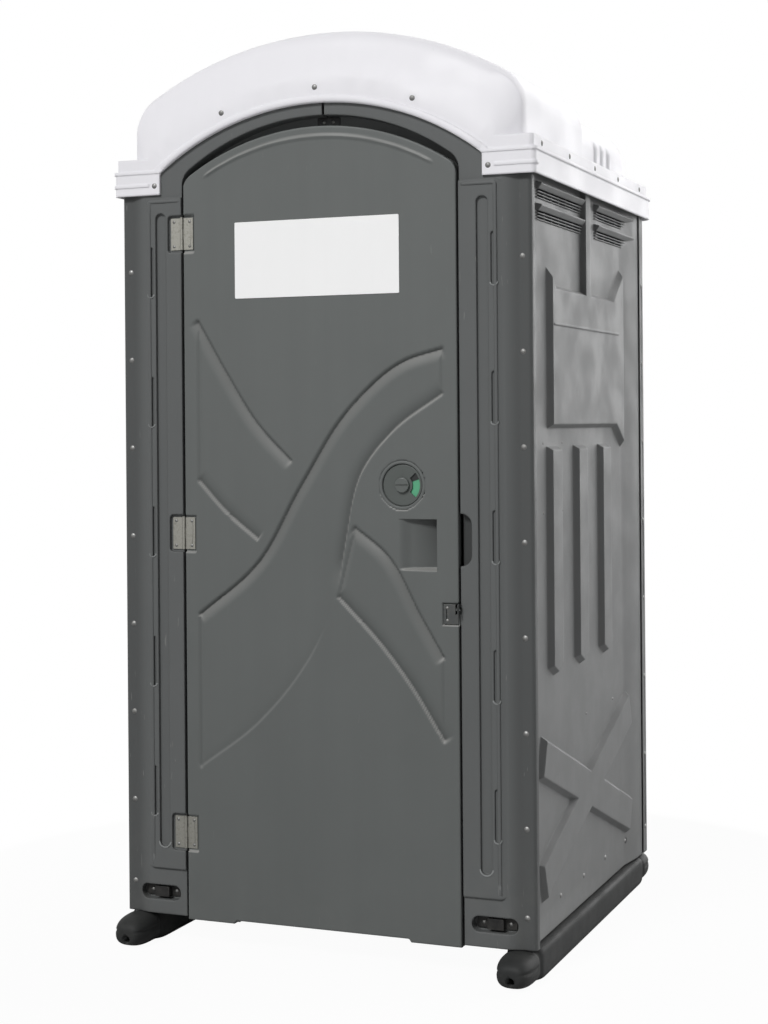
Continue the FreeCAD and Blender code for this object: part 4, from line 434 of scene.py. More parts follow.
dust_colour = colour(140, 137, 130)
scuff_and_highlight_colour = colour(168, 167, 164)
shadow_grey = colour(40, 41, 41)
latch_shade = colour(84, 88, 86)
vacant_green = colour(82, 158, 120)
engaged_red = colour(168, 40, 34)
vacant_angle = math.radians(-12)
sector_half_angle = math.radians(30)
boss_reach = 0.0245


def finish(name):
    """An empty material with its surface joined to the output."""
    made = bpy.data.materials.new(name)
    made.use_nodes = True
    tree = made.node_tree
    tree.nodes.clear()
    surface = tree.nodes.new("ShaderNodeBsdfPrincipled")
    output = tree.nodes.new("ShaderNodeOutputMaterial")
    tree.links.new(surface.outputs[0], output.inputs[0])
    return made, tree, surface


def moulded(name, shade, roughness=0.55, grain_depth=1.0, change=0.1, dust_top=0.5,
            dust_amount=0.3, scuff_amount=0.2, specular=0.25, softness=0.0, painted_shade=None,
            painted_highlight=None, bottom_painted_shade=0.0):
    """Moulded plastic with grain, drifting colour, dust and scuffs."""
    made, tree, surface = finish(name)
    body = place_group(tree, drift, {"Colour": shade, "Amount": change})["Colour"]
    # Painted shade: the colour darkens towards shadow grey low down
    if bottom_painted_shade:
        height = node(tree, "SeparateXYZ", {"Vector": place(tree)}).outputs["Z"]
        body = blend(tree, spread(tree, height, 0.1, 2.0, bottom_painted_shade, 0.0), body, shadow_grey)
    # Painted shade: the surface is mixed towards shadow grey by the given mask
    if painted_shade:
        body = blend(tree, painted_shade(tree), body, shadow_grey)
    # Painted highlight: a paler colour on the edges that face up
    if painted_highlight:
        body = blend(tree, painted_highlight(tree), body, scuff_and_highlight_colour)
    dirt = place_group(tree, dust, {"Top": dust_top, "Amount": dust_amount})["Mask"]
    marks = place_group(tree, scuffs, {"Amount": scuff_amount})["Mask"]
    body = blend(tree, dirt, body, dust_colour)
    body = blend(tree, marks, body, scuff_and_highlight_colour)
    tree.links.new(body, surface.inputs["Base Color"])
    skin = place_group(tree, grain, {"Depth": grain_depth})["Height"]
    gloss = node(tree, "TexNoise", {"Vector": place(tree), "Scale": 9.0, "Detail": 4.0}).outputs["Fac"]
    rough = spread(tree, gloss, 0.3, 0.7, roughness - 0.07, roughness + 0.07)
    rough = maths(tree, "ADD", rough, maths(tree, "MULTIPLY", dirt, 0.25))
    tree.links.new(rough, surface.inputs["Roughness"])
    height = maths(tree, "SUBTRACT", skin, maths(tree, "MULTIPLY", marks, 0.5))
    bump = node(tree, "Bump", {"Height": height, "Distance": 0.0006, "Strength": 0.35})
    if softness:
        soft = node(tree, "Bevel", {"Radius": softness}, samples=6).outputs[0]
        tree.links.new(soft, bump.inputs["Normal"])
    tree.links.new(bump.outputs[0], surface.inputs["Normal"])
    surface.inputs["Specular IOR Level"].default_value = specular
    return made


def groove_painted_shade(tree):
    """The painted shade stored on the door skin's points."""
    return node(tree, "Attribute", attribute_name="hollow_painted_shade").outputs["Fac"]


def edge_painted_highlight(tree):
    """The painted highlight stored on the edges of the door's skin that face up."""
    return node(tree, "Attribute", attribute_name="edge_painted_highlight").outputs["Fac"]


def front_painted_shade(tree):
    """Painted shade on the outer flanges of the front, outside the jambs, and in the finger scoop."""
    along = node(tree, "SeparateXYZ", {"Vector": place(tree)}).outputs
    across = maths(tree, "ABSOLUTE", along["X"])
    flange = spread(tree, across, flange_inner, flange_outer, 0.0, flange_shade_amount)
    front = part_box("front_panel_right")[0][1]
    scoop = spread(tree, along["Y"], front + 0.003, front + 0.020, 0.0, scoop_shade_amount)
    beside_it = spread(tree, across, scoop_side, scoop_side + 0.006, 1.0, 0.0)
    above_its_foot = spread(tree, along["Z"], scoop_low, scoop_low + 0.025)
    below_its_head = spread(tree, along["Z"], scoop_high - 0.020, scoop_high, 1.0, 0.0)
    for limit in (beside_it, above_its_foot, below_its_head):
        scoop = maths(tree, "MULTIPLY", scoop, limit)
    return maths(tree, "MAXIMUM", flange, scoop)


def metal(name, shade, roughness, brushed=0.0, patch=0.12):
    """Plated or bare metal with dull patches and fine lines."""
    made, tree, surface = finish(name)
    patches = node(tree, "TexNoise", {"Vector": place(tree), "Scale": 120.0, "Detail": 5.0,
                                      "Roughness": 0.65}).outputs["Fac"]
    body = blend(tree, spread(tree, patches, 0.42, 0.75, 0.0, 0.5), shade, colour(92, 90, 84))
    tree.links.new(body, surface.inputs["Base Color"])
    lines = node(tree, "TexNoise", {"Vector": place(tree, (1.0, 1.0, 0.06)), "Scale": 1400.0,
                                    "Detail": 2.0}).outputs["Fac"]
    tree.links.new(spread(tree, patches, 0.3, 0.7, roughness - patch, roughness + patch),
                   surface.inputs["Roughness"])
    height = blend(tree, brushed, patches, lines)
    bump = node(tree, "Bump", {"Height": height, "Distance": 0.0003, "Strength": 0.3})
    tree.links.new(bump.outputs[0], surface.inputs["Normal"])
    surface.inputs["Metallic"].default_value = 1.0
    return made


def indicator():
    """The turning dial: green for vacant, red for engaged, dark between, with a grey boss."""
    made, tree, surface = finish("indicator_green_and_red")
    low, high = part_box("latch_dial")
    centre = (low[0] + high[0]) / 2, 0.0, (low[2] + high[2]) / 2
    points = node(tree, "TexCoord").outputs["Object"]
    from_centre = node(tree, "VectorMath", {0: points, 1: centre}, operation="SUBTRACT").outputs[0]
    along = node(tree, "SeparateXYZ", {"Vector": from_centre}).outputs
    angle = maths(tree, "ARCTAN2", along["Z"], along["X"])
    flecks = node(tree, "TexNoise", {"Vector": place(tree), "Scale": 300.0,
                                     "Detail": 3.0}).outputs["Fac"]
    body = colour(22, 24, 24)
    for middle, shade in ((vacant_angle, vacant_green), (vacant_angle + math.pi / 2, engaged_red)):
        aside = maths(tree, "ABSOLUTE", maths(tree, "SUBTRACT", angle, middle))
        share = spread(tree, aside, sector_half_angle, sector_half_angle + 0.02, 1.0, 0.0)
        body = blend(tree, share, body, shade)
    flat = node(tree, "CombineXYZ", {"X": along["X"], "Z": along["Z"]}).outputs[0]
    reach = node(tree, "VectorMath", {0: flat}, operation="LENGTH").outputs["Value"]
    on_boss = spread(tree, reach, boss_reach, boss_reach + 0.0005, 1.0, 0.0)
    body = blend(tree, on_boss, body, latch_shade)
    body = blend(tree, spread(tree, flecks, 0.55, 0.8, 0.0, 0.2), body, colour(60, 66, 62))
    tree.links.new(body, surface.inputs["Base Color"])
    bump = node(tree, "Bump", {"Height": flecks, "Distance": 0.0002, "Strength": 0.3})
    tree.links.new(bump.outputs[0], surface.inputs["Normal"])
    surface.inputs["Roughness"].default_value = 0.35
    return made


finishes = {
    "wall_plastic": moulded("wall_grey", colour(110, 111, 111), 0.55, dust_amount=0.07,
                            softness=wall_softness),
    # The front and door greys below are the walls' plastic made darker: painted shade for the front's
    # dimmer light
    "front_plastic": moulded("front_shaded_grey", colour(92, 94, 94), 0.52, dust_amount=0.06,
                             softness=wall_softness, painted_shade=front_painted_shade, bottom_painted_shade=0.12),
    # The lips' grey is the front plastic made paler: a painted highlight on their upper rims
    "front_lip": moulded("front_lip_lit_grey", colour(122, 124, 124), 0.5, change=0.06,
                         dust_amount=0.02, scuff_amount=0.05),
    "door_plastic": moulded("door_shaded_grey", colour(98, 101, 100), 0.5, change=0.12, dust_amount=0.04,
                            dust_top=0.3, scuff_amount=0.08, painted_shade=groove_painted_shade,
                            painted_highlight=edge_painted_highlight, bottom_painted_shade=0.2),
    "roof_plastic": moulded("roof_white", colour(233, 232, 236), 0.45, change=0.04, dust_top=0.1,
                            dust_amount=0.06, scuff_amount=0.06, softness=roof_softness),
    "skid_plastic": moulded("skid_grey", colour(41, 42, 42), 0.62, change=0.3, dust_top=0.15,
                            dust_amount=0.03, scuff_amount=0.06, specular=0.15),
    "pan_plastic": moulded("pan_grey", colour(66, 68, 68), 0.6, dust_amount=0.3),
    "black_plastic": moulded("black_nylon", colour(20, 20, 21), 0.42, dust_amount=0.12),
    "rivet_metal": metal("rivet_aluminium", colour(122, 122, 121), 0.55),
    "hinge_steel": metal("zinc_plate", colour(150, 149, 142), 0.42, brushed=0.4),
    "hasp_chrome": metal("dull_plate", colour(84, 86, 86), 0.42, brushed=0.2, patch=0.08),
    "latch_plastic": moulded("latch_grey", latch_shade, 0.4, change=0.06, dust_amount=0.05,
                             scuff_amount=0.1),
    "dial_plastic": indicator(),
    "notice_white": moulded("notice_white", colour(246, 246, 246), 0.4, grain_depth=0.2, change=0.03,
                            dust_top=0.1, dust_amount=0.05, scuff_amount=0.05),
    "tank_plastic": moulded("tank_black", colour(30, 30, 31), 0.45, dust_amount=0.1),
    "seat_plastic": moulded("seat_black", colour(26, 26, 28), 0.3, grain_depth=0.3, dust_amount=0.05),
    "pipe_plastic": moulded("pipe_grey", colour(158, 158, 156), 0.4, grain_depth=0.3,
                            dust_amount=0.1),
    "urinal_plastic": moulded("urinal_grey", colour(120, 122, 122), 0.35, grain_depth=0.4,
                              dust_amount=0.05),
    "tissue": moulded("tissue_paper", colour(230, 228, 222), 0.9, grain_depth=1.5, change=0.04,
                      dust_top=0.1, dust_amount=0.0, scuff_amount=0.0),
    "dispenser_white": moulded("dispenser_white", colour(222, 222, 222), 0.35, grain_depth=0.4,
                               dust_amount=0.05),
}

slots = {part["node"]: part["material_slot"] for part in frame["record"]["subparts"]}
edges = {"roof": roof_edge, "skid_left": skid_edge, "skid_right": skid_edge}
large = {"front_panel_left", "front_panel_right", "side_wall_left", "side_wall_right", "rear_wall",
         "door_outer_shell", "door_inner_shell", "floor_pan", "waste_tank"}

# Materials and softened edges of the pieces that keep their own surfaces
for name, piece in nodes.items():
    for material_slot in piece.material_slots:
        material_slot.material = finishes[slots[name]]
    weld = piece.modifiers.new("weld", "WELD")
    weld.merge_threshold = 0.00002
    bevel = piece.modifiers.new("soft_edges", "BEVEL")
    bevel.width = edges.get(name, wall_edge if name in large else fitting_edge)
    bevel.segments = 2
    bevel.limit_method = "ANGLE"
    bevel.angle_limit = math.radians(32)
    bevel.use_clamp_overlap = True
    normals = piece.modifiers.new("even_shading", "WEIGHTED_NORMAL")
    normals.keep_sharp = False
    for face in piece.data.polygons:
        face.use_smooth = True


# Door skin

def smooth_curve(points, count=60):
    """Points along a smooth line through a few points."""
    marks = np.array(points, float)
    steps = np.concatenate([[0.0], np.cumsum(np.hypot(*np.diff(marks, axis=0).T))])
    slopes = np.gradient(marks, steps, axis=0)
    along = np.linspace(0.0, steps[-1], count)
    span = np.clip(np.searchsorted(steps, along, side="right") - 1, 0, len(steps) - 2)
    width = steps[span + 1] - steps[span]
    t = ((along - steps[span]) / width)[:, None]
    start, end = marks[span], marks[span + 1]
    lean_in, lean_out = slopes[span] * width[:, None], slopes[span + 1] * width[:, None]
    return ((2 * t ** 3 - 3 * t ** 2 + 1) * start + (t ** 3 - 2 * t ** 2 + t) * lean_in
            + (3 * t ** 2 - 2 * t ** 3) * end + (t ** 3 - t ** 2) * lean_out)


def beside(x, z, line):
    """How far points lie to the left of a line, how far past its ends, and how far along it."""
    best = np.full(x.shape, 1e9)
    side = np.zeros_like(x)
    past = np.zeros_like(x)
    along = np.zeros_like(x)
    for k in range(len(line) - 1):
        (ax, az), (bx, bz) = line[k], line[k + 1]
        dx, dz = bx - ax, bz - az
        t = ((x - ax) * dx + (z - az) * dz) / (dx * dx + dz * dz)
        held = np.clip(t, 0.0, 1.0)
        gap = np.hypot(x - ax - held * dx, z - az - held * dz)
        nearer = gap < best
        best = np.where(nearer, gap, best)
        cross = (dx * (z - az) - dz * (x - ax)) / math.hypot(dx, dz)
        side = np.where(nearer, cross, side)
        beyond = 0.0
        if k == 0:
            beyond = np.maximum(-t, 0.0) * math.hypot(dx, dz)
        if k == len(line) - 2:
            beyond = beyond + np.maximum(t - 1.0, 0.0) * math.hypot(dx, dz)
        past = np.where(nearer, beyond, past)
        along = np.where(nearer, (k + held) / (len(line) - 1), along)
    return side, past, along


def ease(value):
    """A value kept between 0 and 1, with a soft start and end."""
    value = np.clip(value, 0.0, 1.0)
    return value * value * (3.0 - 2.0 * value)


def pressed_relief(x, z):
    """Depth of the borders pressed into the door's face."""
    height = leaf_top - leaf_bottom
    depth = np.zeros_like(x)
    for shares, pressed_side, deep, reach, fade_in, fade_out in pressed_borders:
        points = [(field_half * across, leaf_bottom + height * up) for across, up in shares]
        side, past, along = beside(x, z, smooth_curve(points))
        inward = side * pressed_side
        slope = (1.0 - np.clip(inward / reach, 0.0, 1.0)) ** 2
        wall = ease(inward / groove_wall + 1.0)
        strength = 1.0 - ease(past / groove_end)
        if fade_in:
            strength = strength * ease(along / fade_in)
        if fade_out:
            strength = strength * ease((1.0 - along) / fade_out)
        depth = np.maximum(depth, deep * slope * wall * strength)
    return depth


def leaf_head(x):
    """Height of the door's arched head above a point across it."""
    centre = leaf_top - crown_radius
    shoulder_x = leaf_half - shoulder_radius
    shoulder_z = centre + math.sqrt((crown_radius - shoulder_radius) ** 2 - shoulder_x ** 2)
    meet = shoulder_x * crown_radius / (crown_radius - shoulder_radius)
    across = np.abs(x)
    crown = centre + np.sqrt(crown_radius ** 2 - np.minimum(across, meet) ** 2)
    drop = np.clip(across - shoulder_x, 0.0, shoulder_radius)
    shoulder = shoulder_z + np.sqrt(shoulder_radius ** 2 - drop ** 2)
    return np.where(across < meet, crown, shoulder)


def within(x, z, left, right, bottom, top):
    """1 inside a rectangle of the face and 0 outside it, with a steep wall between."""
    return (np.clip((x - left) / pocket_wall, 0, 1) * np.clip((right - x) / pocket_wall, 0, 1)
            * np.clip((z - bottom) / pocket_wall, 0, 1) * np.clip((top - z) / pocket_wall, 0, 1))


def grid_lines(low, high, step, marks):
    """Even lines from low to high, with a close pair of lines at every marked edge."""
    lines = list(np.linspace(low, high, int(round((high - low) / step)) + 1))
    pairs = [mark + shift for mark in marks for shift in (0.0, pocket_wall)]
    lines = [v for v in lines if min([abs(v - p) for p in pairs] + [1.0]) > 0.3 * step
             or v in (low, high)]
    return np.array(sorted(lines + pairs))


def door_depths(x, z):
    """How far back each point of the door's skin lies from the door's face."""
    depth = pressed_relief(x, z)
    across = np.clip((x - pull_left) / (pull_right - pull_left), 0, 1)
    ramp = (ease((x - pull_left) / pull_entry_run) * pull_entry_depth
            + (pull_depth - pull_entry_depth) * across ** pull_slope_power)
    pull = within(x, z, pull_left, pull_right, pull_bottom, pull_top)
    lip = ease((z - pull_bottom) / pull_lip)
    depth = np.where(pull > 0, pull * lip * ramp, depth)
    reach = np.hypot(x - latch_x, z - latch_z)
    depth = np.where(reach < seat_radius + seat_hole_margin, seat_hole_depth, depth)
    hasp = within(x, z, hasp_left, leaf_half + 1, hasp_bottom, hasp_top)
    depth = np.where(hasp > 0, hasp * hasp_depth, depth)
    for low, high in hinge_seats():
        seat = within(x, z, -1, hinge_reach, low, high)
        depth = np.where(seat > 0, seat * hinge_depth, depth)
    rim = crown_radius - np.hypot(x, z - leaf_top + crown_radius)
    arc = np.where(np.abs(x) < arc_reach, 1.0 - ease(np.abs(rim - arc_inset) / arc_half_width), 0.0)
    arc = arc * ease((arc_reach - np.abs(x)) / arc_fade) * (z > arc_lowest)
    return depth - arc * arc_rise


def hinge_seats():
    """Heights between which the door is set back for its hinge leaves."""
    middles = [hinge_lowest + hinge_pitch * k for k in range(hinge_count)]
    return [(middle - hinge_half_height, middle + hinge_half_height) for middle in middles]


def rounded(gap):
    """How far a rounded edge falls back at a distance from the outline."""
    gap = np.clip(gap, 0.0, edge_round)
    return edge_round - np.sqrt(edge_round ** 2 - (edge_round - gap) ** 2)


def grid_faces(rows, columns):
    """The four-sided faces between the points of a grid."""
    corner = (np.arange(rows - 1)[:, None] * columns + np.arange(columns - 1)[None, :]).ravel()
    return np.stack([corner, corner + 1, corner + columns + 1, corner + columns], axis=1)


def hollow_painted_shade(x, z):
    """How much painted shade each point of the door's face takes: darker in its grooves and in the
    pull.
    """
    grooves = np.clip(pressed_relief(x, z) / groove_shade_depth, 0.0, 1.0)
    painted_shade = groove_shade_amount * grooves ** groove_shade_power
    pull = within(x, z, pull_left, pull_right, pull_bottom, pull_top)
    across = np.clip((x - pull_left) / (pull_right - pull_left), 0.0, 1.0)
    up = np.clip((z - pull_bottom) / (pull_top - pull_bottom), 0.0, 1.0)
    shade = across ** pull_shade_power * (pull_shade_low + (1.0 - pull_shade_low) * up)
    inside = pull_shade_amount * shade * ease((z - pull_bottom) / pull_lip - pull_shade_start)
    return np.where(pull > 0, inside, painted_shade)


def add_mesh(name, points, faces, material):
    """A smooth mesh piece with one material."""
    mesh = bpy.data.meshes.new(name)
    mesh.from_pydata([tuple(p) for p in points], [], [tuple(int(i) for i in f) for f in faces])
    mesh.materials.append(material)
    mesh.shade_smooth()
    piece = bpy.data.objects.new(name, mesh)
    scene.collection.objects.link(piece)
    return piece


def door_grid():
    """Points over the door's face, drawn to its arched head and to its raised toe."""
    straight_seats = hinge_seats()[:2]
    seats = [level for pair in straight_seats for level in pair]
    xs = grid_lines(-leaf_half, leaf_half, grid_step,
                    [hinge_reach, pull_left, pull_right - pocket_wall, hasp_left])
    ends = [leaf_half - gap for gap in edge_lines]
    xs = np.unique(np.concatenate([xs, ends, [-e for e in ends]]))
    marks = [pull_bottom, pull_top - pocket_wall, hasp_bottom, hasp_top - pocket_wall] + seats
    rows = np.concatenate([grid_lines(leaf_bottom, leaf_top, grid_step, marks),
                           pull_bottom + pull_lip * np.array([0.25, 0.4, 0.55, 0.7, 0.85, 1.0]),
                           [leaf_bottom + gap for gap in edge_lines],
                           [leaf_top - gap for gap in edge_lines]])
    x, z = np.meshgrid(xs, np.unique(rows))
    bottom = leaf_bottom + toe_rise * (1.0 - ease((np.abs(x) - toe_half) / toe_slope))
    top = leaf_head(x)
    share = np.clip((z - head_start) / (leaf_top - head_start), 0.0, 1.0)
    z = np.where(z > head_start, head_start + share * (top - head_start), z)
    low_share = np.clip((z - leaf_bottom) / toe_run, 0.0, 1.0)
    z = z + (bottom - leaf_bottom) * (1.0 - low_share)
    gap = np.minimum(np.minimum(leaf_half - np.abs(x), z - bottom), top - z)
    return x, z, gap


def add_door_skin():
    """The door's outer skin as one closed moulding with its pressed work."""
    x, z, gap = door_grid()
    depth = door_depths(x, z)
    # Painted highlight: slopes of the door's face that face up take a paler colour
    facing_up = np.gradient(depth, axis=0) / np.gradient(z, axis=0)
    painted_highlight = highlight_share * np.clip(facing_up / highlight_slope, 0.0, 1.0).ravel()
    y = face_y + np.where(gap < edge_round, np.maximum(depth, rounded(gap)), depth)
    front = np.stack([x, y, z], axis=-1).reshape(-1, 3)
    # Painted shade for the grooves and the pull, stored on the points
    painted_shade = hollow_painted_shade(x, z).ravel()
    count_z, count_x = x.shape
    faces = grid_faces(count_z, count_x).tolist()
    ring = ([k for k in range(count_x)]
            + [r * count_x + count_x - 1 for r in range(1, count_z)]
            + [(count_z - 1) * count_x + k for k in range(count_x - 2, -1, -1)]
            + [r * count_x for r in range(count_z - 2, 0, -1)])
    back = front[ring].copy()
    back[:, 1] = skin_back_y
    first = len(front)
    for k in range(len(ring)):
        after = (k + 1) % len(ring)
        faces.append([ring[after], ring[k], first + k, first + after])
    faces.append([first + k for k in range(len(ring))][::-1])
    skin = add_mesh("door_skin", np.concatenate([front, back]), faces, finishes["door_plastic"])
    for name, values in (("hollow_painted_shade", painted_shade), ("edge_painted_highlight", painted_highlight)):
        stored = skin.data.attributes.new(name, "FLOAT", "POINT")
        stored.data.foreach_set("value", np.concatenate([values, np.zeros(len(back))]))
    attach(skin, "door")
    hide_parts("door_outer_shell")


def add_latch_seat():
    """The dished ring in the door's face that the latch plate sits in."""
    profile = [(seat_radius + 0.008, 0.006), (seat_radius + 0.0075, 0.0006),
               (seat_radius + 0.0065, -0.0001), (seat_radius + 0.0022, -0.0002),
               (seat_radius + 0.0010, 0.0001), (seat_radius + 0.0003, 0.0009),
               (seat_radius - 0.0002, 0.0022), (seat_radius - 0.0006, seat_depth - 0.0008),
               (seat_radius - 0.0014, seat_depth), (seat_radius - 0.0030, seat_depth + 0.0003),
               (seat_radius - 0.0030, seat_depth + 0.0035), (seat_radius + 0.008, seat_depth + 0.0035)]
    turns = 128
    points = []
    for k in range(turns):
        angle = 2 * math.pi * k / turns
        points += [(latch_x + r * math.cos(angle), face_y + depth, latch_z + r * math.sin(angle))
                   for r, depth in profile]
    wide = len(profile)
    faces = []
    for k in range(turns):
        after = (k + 1) % turns
        for j in range(wide):
            over = (j + 1) % wide
            faces.append((k * wide + j, k * wide + over, after * wide + over, after * wide + j))
    seat = add_mesh("latch_seat", points, faces, finishes["door_plastic"])
    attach(seat, "door")


# Skids

def nose_share(gap):
    """How full a skid is at a distance from its end."""
    share = min(max(gap / nose_length, 0.0), 1.0)
    return (1.0 - (1.0 - share) ** nose_fullness) ** (1 / nose_fullness)


def skid_section(gap, half_width, height):
    """Half width, low and high edge, squareness and groove of a skid at a distance from its end."""
    full = nose_share(gap)
    neck = neck_depth * math.exp(-((gap - nose_neck) / neck_half_length) ** 2)
    side = half_width * (nose_tip_share + (1.0 - nose_tip_share) * full) - neck
    taper = 0.5 * height * (1.0 - full ** nose_taper_power)
    low = taper * nose_rise
    high = height - taper * nose_fall - neck * neck_crest_share
    square = nose_squareness + ((rail_squareness - nose_squareness)
                                * ease((gap - square_from) / square_run))
    return side, low, high, square


def add_skid(name):
    """A sled runner with a bulbous nose, a neck behind it and a tow hole."""
    low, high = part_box(name)
    middle = (low[0] + high[0]) / 2
    half_width = (high[0] - low[0]) / 2
    height = high[2] - low[2]
    length = high[1] - low[1]
    nose = [nose_length * (1 - math.cos(math.pi / 2 * k / nose_steps)) for k in range(nose_steps + 1)]
    nose += [nose_length + fine_step * (k + 1) for k in range(fine_count)]
    far = nose[-1]
    plain = int((length - 2 * far) / coarse_step)
    run = [far + (length - 2 * far) * k / plain for k in range(1, plain)]
    steps = nose + run + [length - step for step in reversed(nose)]
    points = []
    for step in steps:
        gap = min(step, length - step)
        side, base, crest, square = skid_section(gap, half_width, height)
        for k in range(skid_turns):
            turn = 2 * math.pi * (k + 0.5) / skid_turns
            c, s = math.cos(turn), math.sin(turn)
            across = math.copysign(abs(c) ** (2 / square), c)
            up = math.copysign(abs(s) ** (2 / square), s)
            z = (base + crest) / 2 + (crest - base) / 2 * up
            split = split_depth * math.exp(-((z - split_height) / split_half_height) ** 2)
            split *= 1.0 - ease((gap - split_end) / split_run)
            points.append((middle + (side - split) * across, low[1] + step, low[2] + z))
    faces = []
    for r in range(len(steps) - 1):
        for k in range(skid_turns):
            after = (k + 1) % skid_turns
            faces.append((r * skid_turns + k, (r + 1) * skid_turns + k,
                          (r + 1) * skid_turns + after, r * skid_turns + after))
    faces.append(tuple(range(skid_turns)))
    last = (len(steps) - 1) * skid_turns
    faces.append(tuple(last + k for k in reversed(range(skid_turns))))
    skid = add_mesh(name + "_moulding", points, faces, finishes["skid_plastic"])
    drill_tow_hole(skid, Vector((middle, low[1], tow_height)))
    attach(skid, "cabin")
    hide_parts(name)


def drill_tow_hole(skid, mouth):
    """A round blind hole drilled into the skid's nose."""
    angles = [2 * math.pi * k / tow_turns for k in range(tow_turns)]
    points = []
    for y in (mouth.y - 0.02, mouth.y + tow_depth):
        points += [(mouth.x + tow_radius * math.cos(angle), y, mouth.z + tow_radius * math.sin(angle))
                   for angle in angles]
    faces = [(k, tow_turns + k, tow_turns + (k + 1) % tow_turns, (k + 1) % tow_turns)
             for k in range(tow_turns)]
    faces += [tuple(range(tow_turns)), tuple(reversed(range(tow_turns, 2 * tow_turns)))]
    drill = add_mesh("drill", points, faces, finishes["skid_plastic"])
    cut = skid.modifiers.new("tow_hole", "BOOLEAN")
    cut.operation = "DIFFERENCE"
    cut.object = drill
    bpy.context.view_layer.update()
    shaped = bpy.data.meshes.new_from_object(skid.evaluated_get(bpy.context.evaluated_depsgraph_get()))
    skid.modifiers.clear()
    skid.data = shaped
    bpy.data.objects.remove(drill)


# Roof rim

def rim_path():
    """Points along the arched cut-out of the roof's front, from the left end to the right end."""
    centre = rim_top_z - rim_radius
    tilt = math.asin(rim_half / rim_radius)
    turns = [tilt * (k / rim_steps - 1) for k in range(2 * rim_steps + 1)]
    return [(rim_radius * math.sin(turn), centre + rim_radius * math.cos(turn)) for turn in turns]


def add_bead(name, path, front, width, rise, slot, material=None):
    """A half-round bead laid along a path on the front of the cabin, to the left of its run."""
    path = [Vector((x, 0, z)) for x, z in path]
    last = len(path) - 1
    points = []
    for k, point in enumerate(path):
        along = (path[min(k + 1, last)] - path[max(k - 1, 0)]).normalized()
        outward = Vector((-along.z, 0, along.x))
        fade = ease(min(k, last - k) / bead_fade_steps + bead_end_share)
        for j in range(bead_around + 1):
            turn = math.pi * j / bead_around
            spot = point + outward * width / 2 * (1 - math.cos(turn))
            points.append((spot.x, front - rise * fade * math.sin(turn) ** bead_fullness, spot.z))
        spot = point + outward * width
        points.append((spot.x, front + bead_root, spot.z))
        points.append((point.x, front + bead_root, point.z))
    wide = bead_around + 3
    faces = []
    for k in range(last):
        for j in range(wide):
            over = (j + 1) % wide
            faces.append((k * wide + j, (k + 1) * wide + j, (k + 1) * wide + over, k * wide + over))
    faces.append(tuple(reversed(range(wide))))
    faces.append(tuple(last * wide + j for j in range(wide)))
    bead = add_mesh(name, points, faces, finishes[material or slot])
    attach(bead, "cabin")


def jamb_path(side):
    """Along a jamb's outer edge, its upper corner and its top, with the outside on the left."""
    turn_x, turn_z = ridge_x - ridge_corner, ridge_top - ridge_corner
    path = [(ridge_x, ridge_bottom + (turn_z - ridge_bottom) * k / ridge_side_steps)
            for k in range(ridge_side_steps)]
    turns = [math.pi / 2 * k / ridge_corner_steps for k in range(ridge_corner_steps + 1)]
    path += [(turn_x + ridge_corner * math.cos(turn), turn_z + ridge_corner * math.sin(turn))
             for turn in turns]
    path += [(turn_x - (turn_x - ridge_end) * k / ridge_top_steps, ridge_top)
             for k in range(1, ridge_top_steps + 1)]
    if side < 0:
        path = [(-x, z) for x, z in reversed(path)]
    return path


def lip_path(x, low, radius):
    """Round under the lower end of a slot, from its right side to its left side."""
    turns = [-math.pi * k / lip_steps for k in range(lip_steps + 1)]
    return [(x + radius * math.cos(turn), low + radius * (1 + math.sin(turn))) for turn in turns]


def add_beads():
    """The rim bead of the roof, and the rounded ridges and slot lips of the two jambs."""
    rim_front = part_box("roof_rim_rivets")[0][1] + bead_stand
    add_bead("roof_rim_bead", rim_path(), rim_front, bead_width, bead_rise, "roof_plastic")
    jamb_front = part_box("front_panel_right")[0][1] + ridge_sink
    for name, side in (("left", -1), ("right", 1)):
        add_bead("jamb_ridge_" + name, jamb_path(side), jamb_front, ridge_width, ridge_rise,
                 "front_plastic")
        lips = [(slot_x, slot_low_first - slot_pitch * k, slot_half_width) for k in range(slot_count)]
        lips.append((channel_x, channel_low, channel_half_width))
        for k, (x, low, radius) in enumerate(lips):
            # The lips take the paler front_lip grey, a painted highlight
            add_bead("pressed_lip_%s_%d" % (name, k + 1), lip_path(side * x, low, radius),
                     jamb_front, lip_width, lip_rise, "front_plastic", "front_lip")


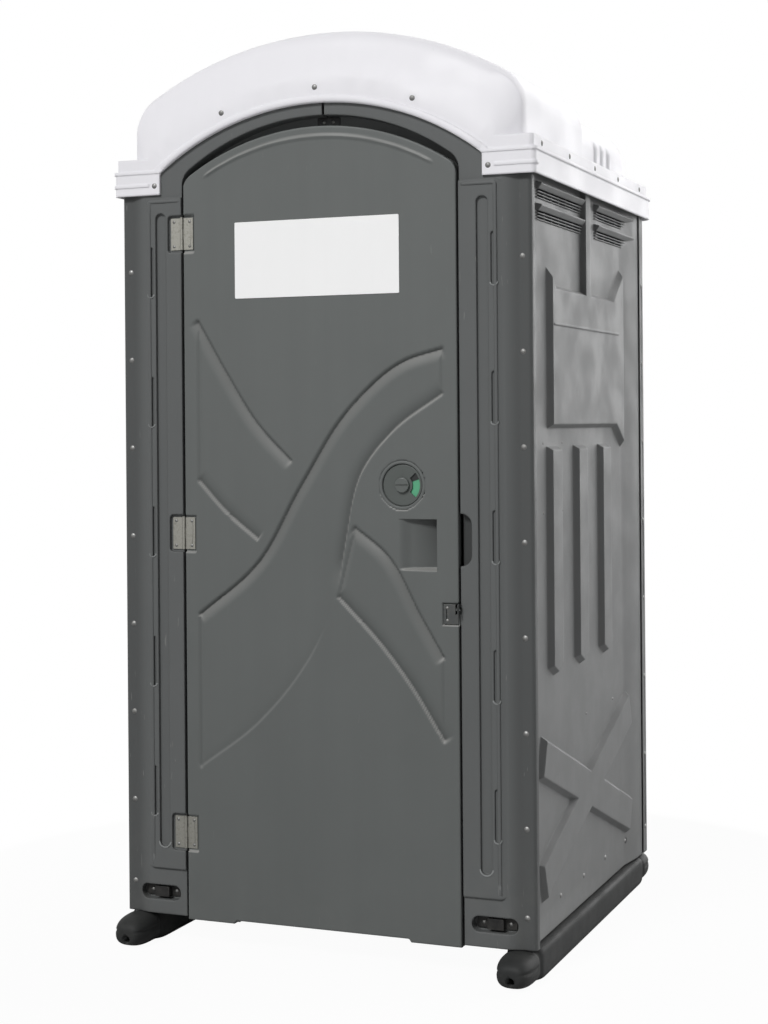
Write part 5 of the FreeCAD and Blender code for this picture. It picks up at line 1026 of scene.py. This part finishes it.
def add_surroundings():
    """A low soft sky that the camera sees as plain white."""
    world = bpy.data.worlds.new("surroundings")
    scene.world = world
    world.use_nodes = True
    tree = world.node_tree
    tree.nodes.clear()
    sky = node(tree, "Background", {"Color": (1, 1, 1, 1), "Strength": sky_level}).outputs[0]
    white = node(tree, "Background", {"Color": (1, 1, 1, 1), "Strength": 1.0}).outputs[0]
    rays = node(tree, "LightPath").outputs
    seen = maths(tree, "MAXIMUM", rays["Is Camera Ray"], rays["Is Glossy Ray"])
    seen = maths(tree, "MAXIMUM", seen, rays["Is Transmission Ray"])
    mix = tree.nodes.new("ShaderNodeMixShader")
    tree.links.new(seen, mix.inputs[0])
    tree.links.new(sky, mix.inputs[1])
    tree.links.new(white, mix.inputs[2])
    output = tree.nodes.new("ShaderNodeOutputWorld")
    tree.links.new(mix.outputs[0], output.inputs[0])


def add_floor():
    """A pale floor that keeps the shadow near the cabin and fades to white away from it."""
    bpy.ops.mesh.primitive_plane_add(size=floor_size, location=(0, 0, 0))
    floor = bpy.context.object
    floor.name = "floor"
    made, tree, surface = finish("floor_pale")
    points = node(tree, "TexCoord").outputs["Object"]
    reach = node(tree, "VectorMath", {0: points}, operation="LENGTH").outputs["Value"]
    away = spread(tree, reach, floor_fade_from, floor_fade_to)
    rays = node(tree, "LightPath").outputs
    share = maths(tree, "MULTIPLY", maths(tree, "MAXIMUM", away, floor_glow), rays["Is Camera Ray"])
    speckle = node(tree, "TexNoise", {"Vector": points, "Scale": 60.0, "Detail": 4.0}).outputs["Fac"]
    fleck = spread(tree, speckle, 0.3, 0.7, 0.0, 0.3)
    shade = blend(tree, fleck, colour(198, 198, 198), colour(206, 206, 206))
    tree.links.new(shade, surface.inputs["Base Color"])
    surface.inputs["Roughness"].default_value = 0.9
    glow = node(tree, "Emission", {"Color": (1, 1, 1, 1), "Strength": 1.0}).outputs[0]
    mix = tree.nodes.new("ShaderNodeMixShader")
    tree.links.new(share, mix.inputs[0])
    tree.links.new(surface.outputs[0], mix.inputs[1])
    tree.links.new(glow, mix.inputs[2])
    output = [n for n in tree.nodes if n.type == "OUTPUT_MATERIAL"][0]
    tree.links.new(mix.outputs[0], output.inputs[0])
    floor.data.materials.append(made)


add_door_skin()
add_latch_seat()
add_skid("skid_left")
add_skid("skid_right")
add_beads()
add_camera()
scene.view_settings.view_transform = "Standard"
add_surroundings()
add_lamp("front_lamp", front_light_travels, front_light, front_light_softness)
add_lamp("side_lamp", side_light_travels, side_light, side_light_softness)
add_floor()
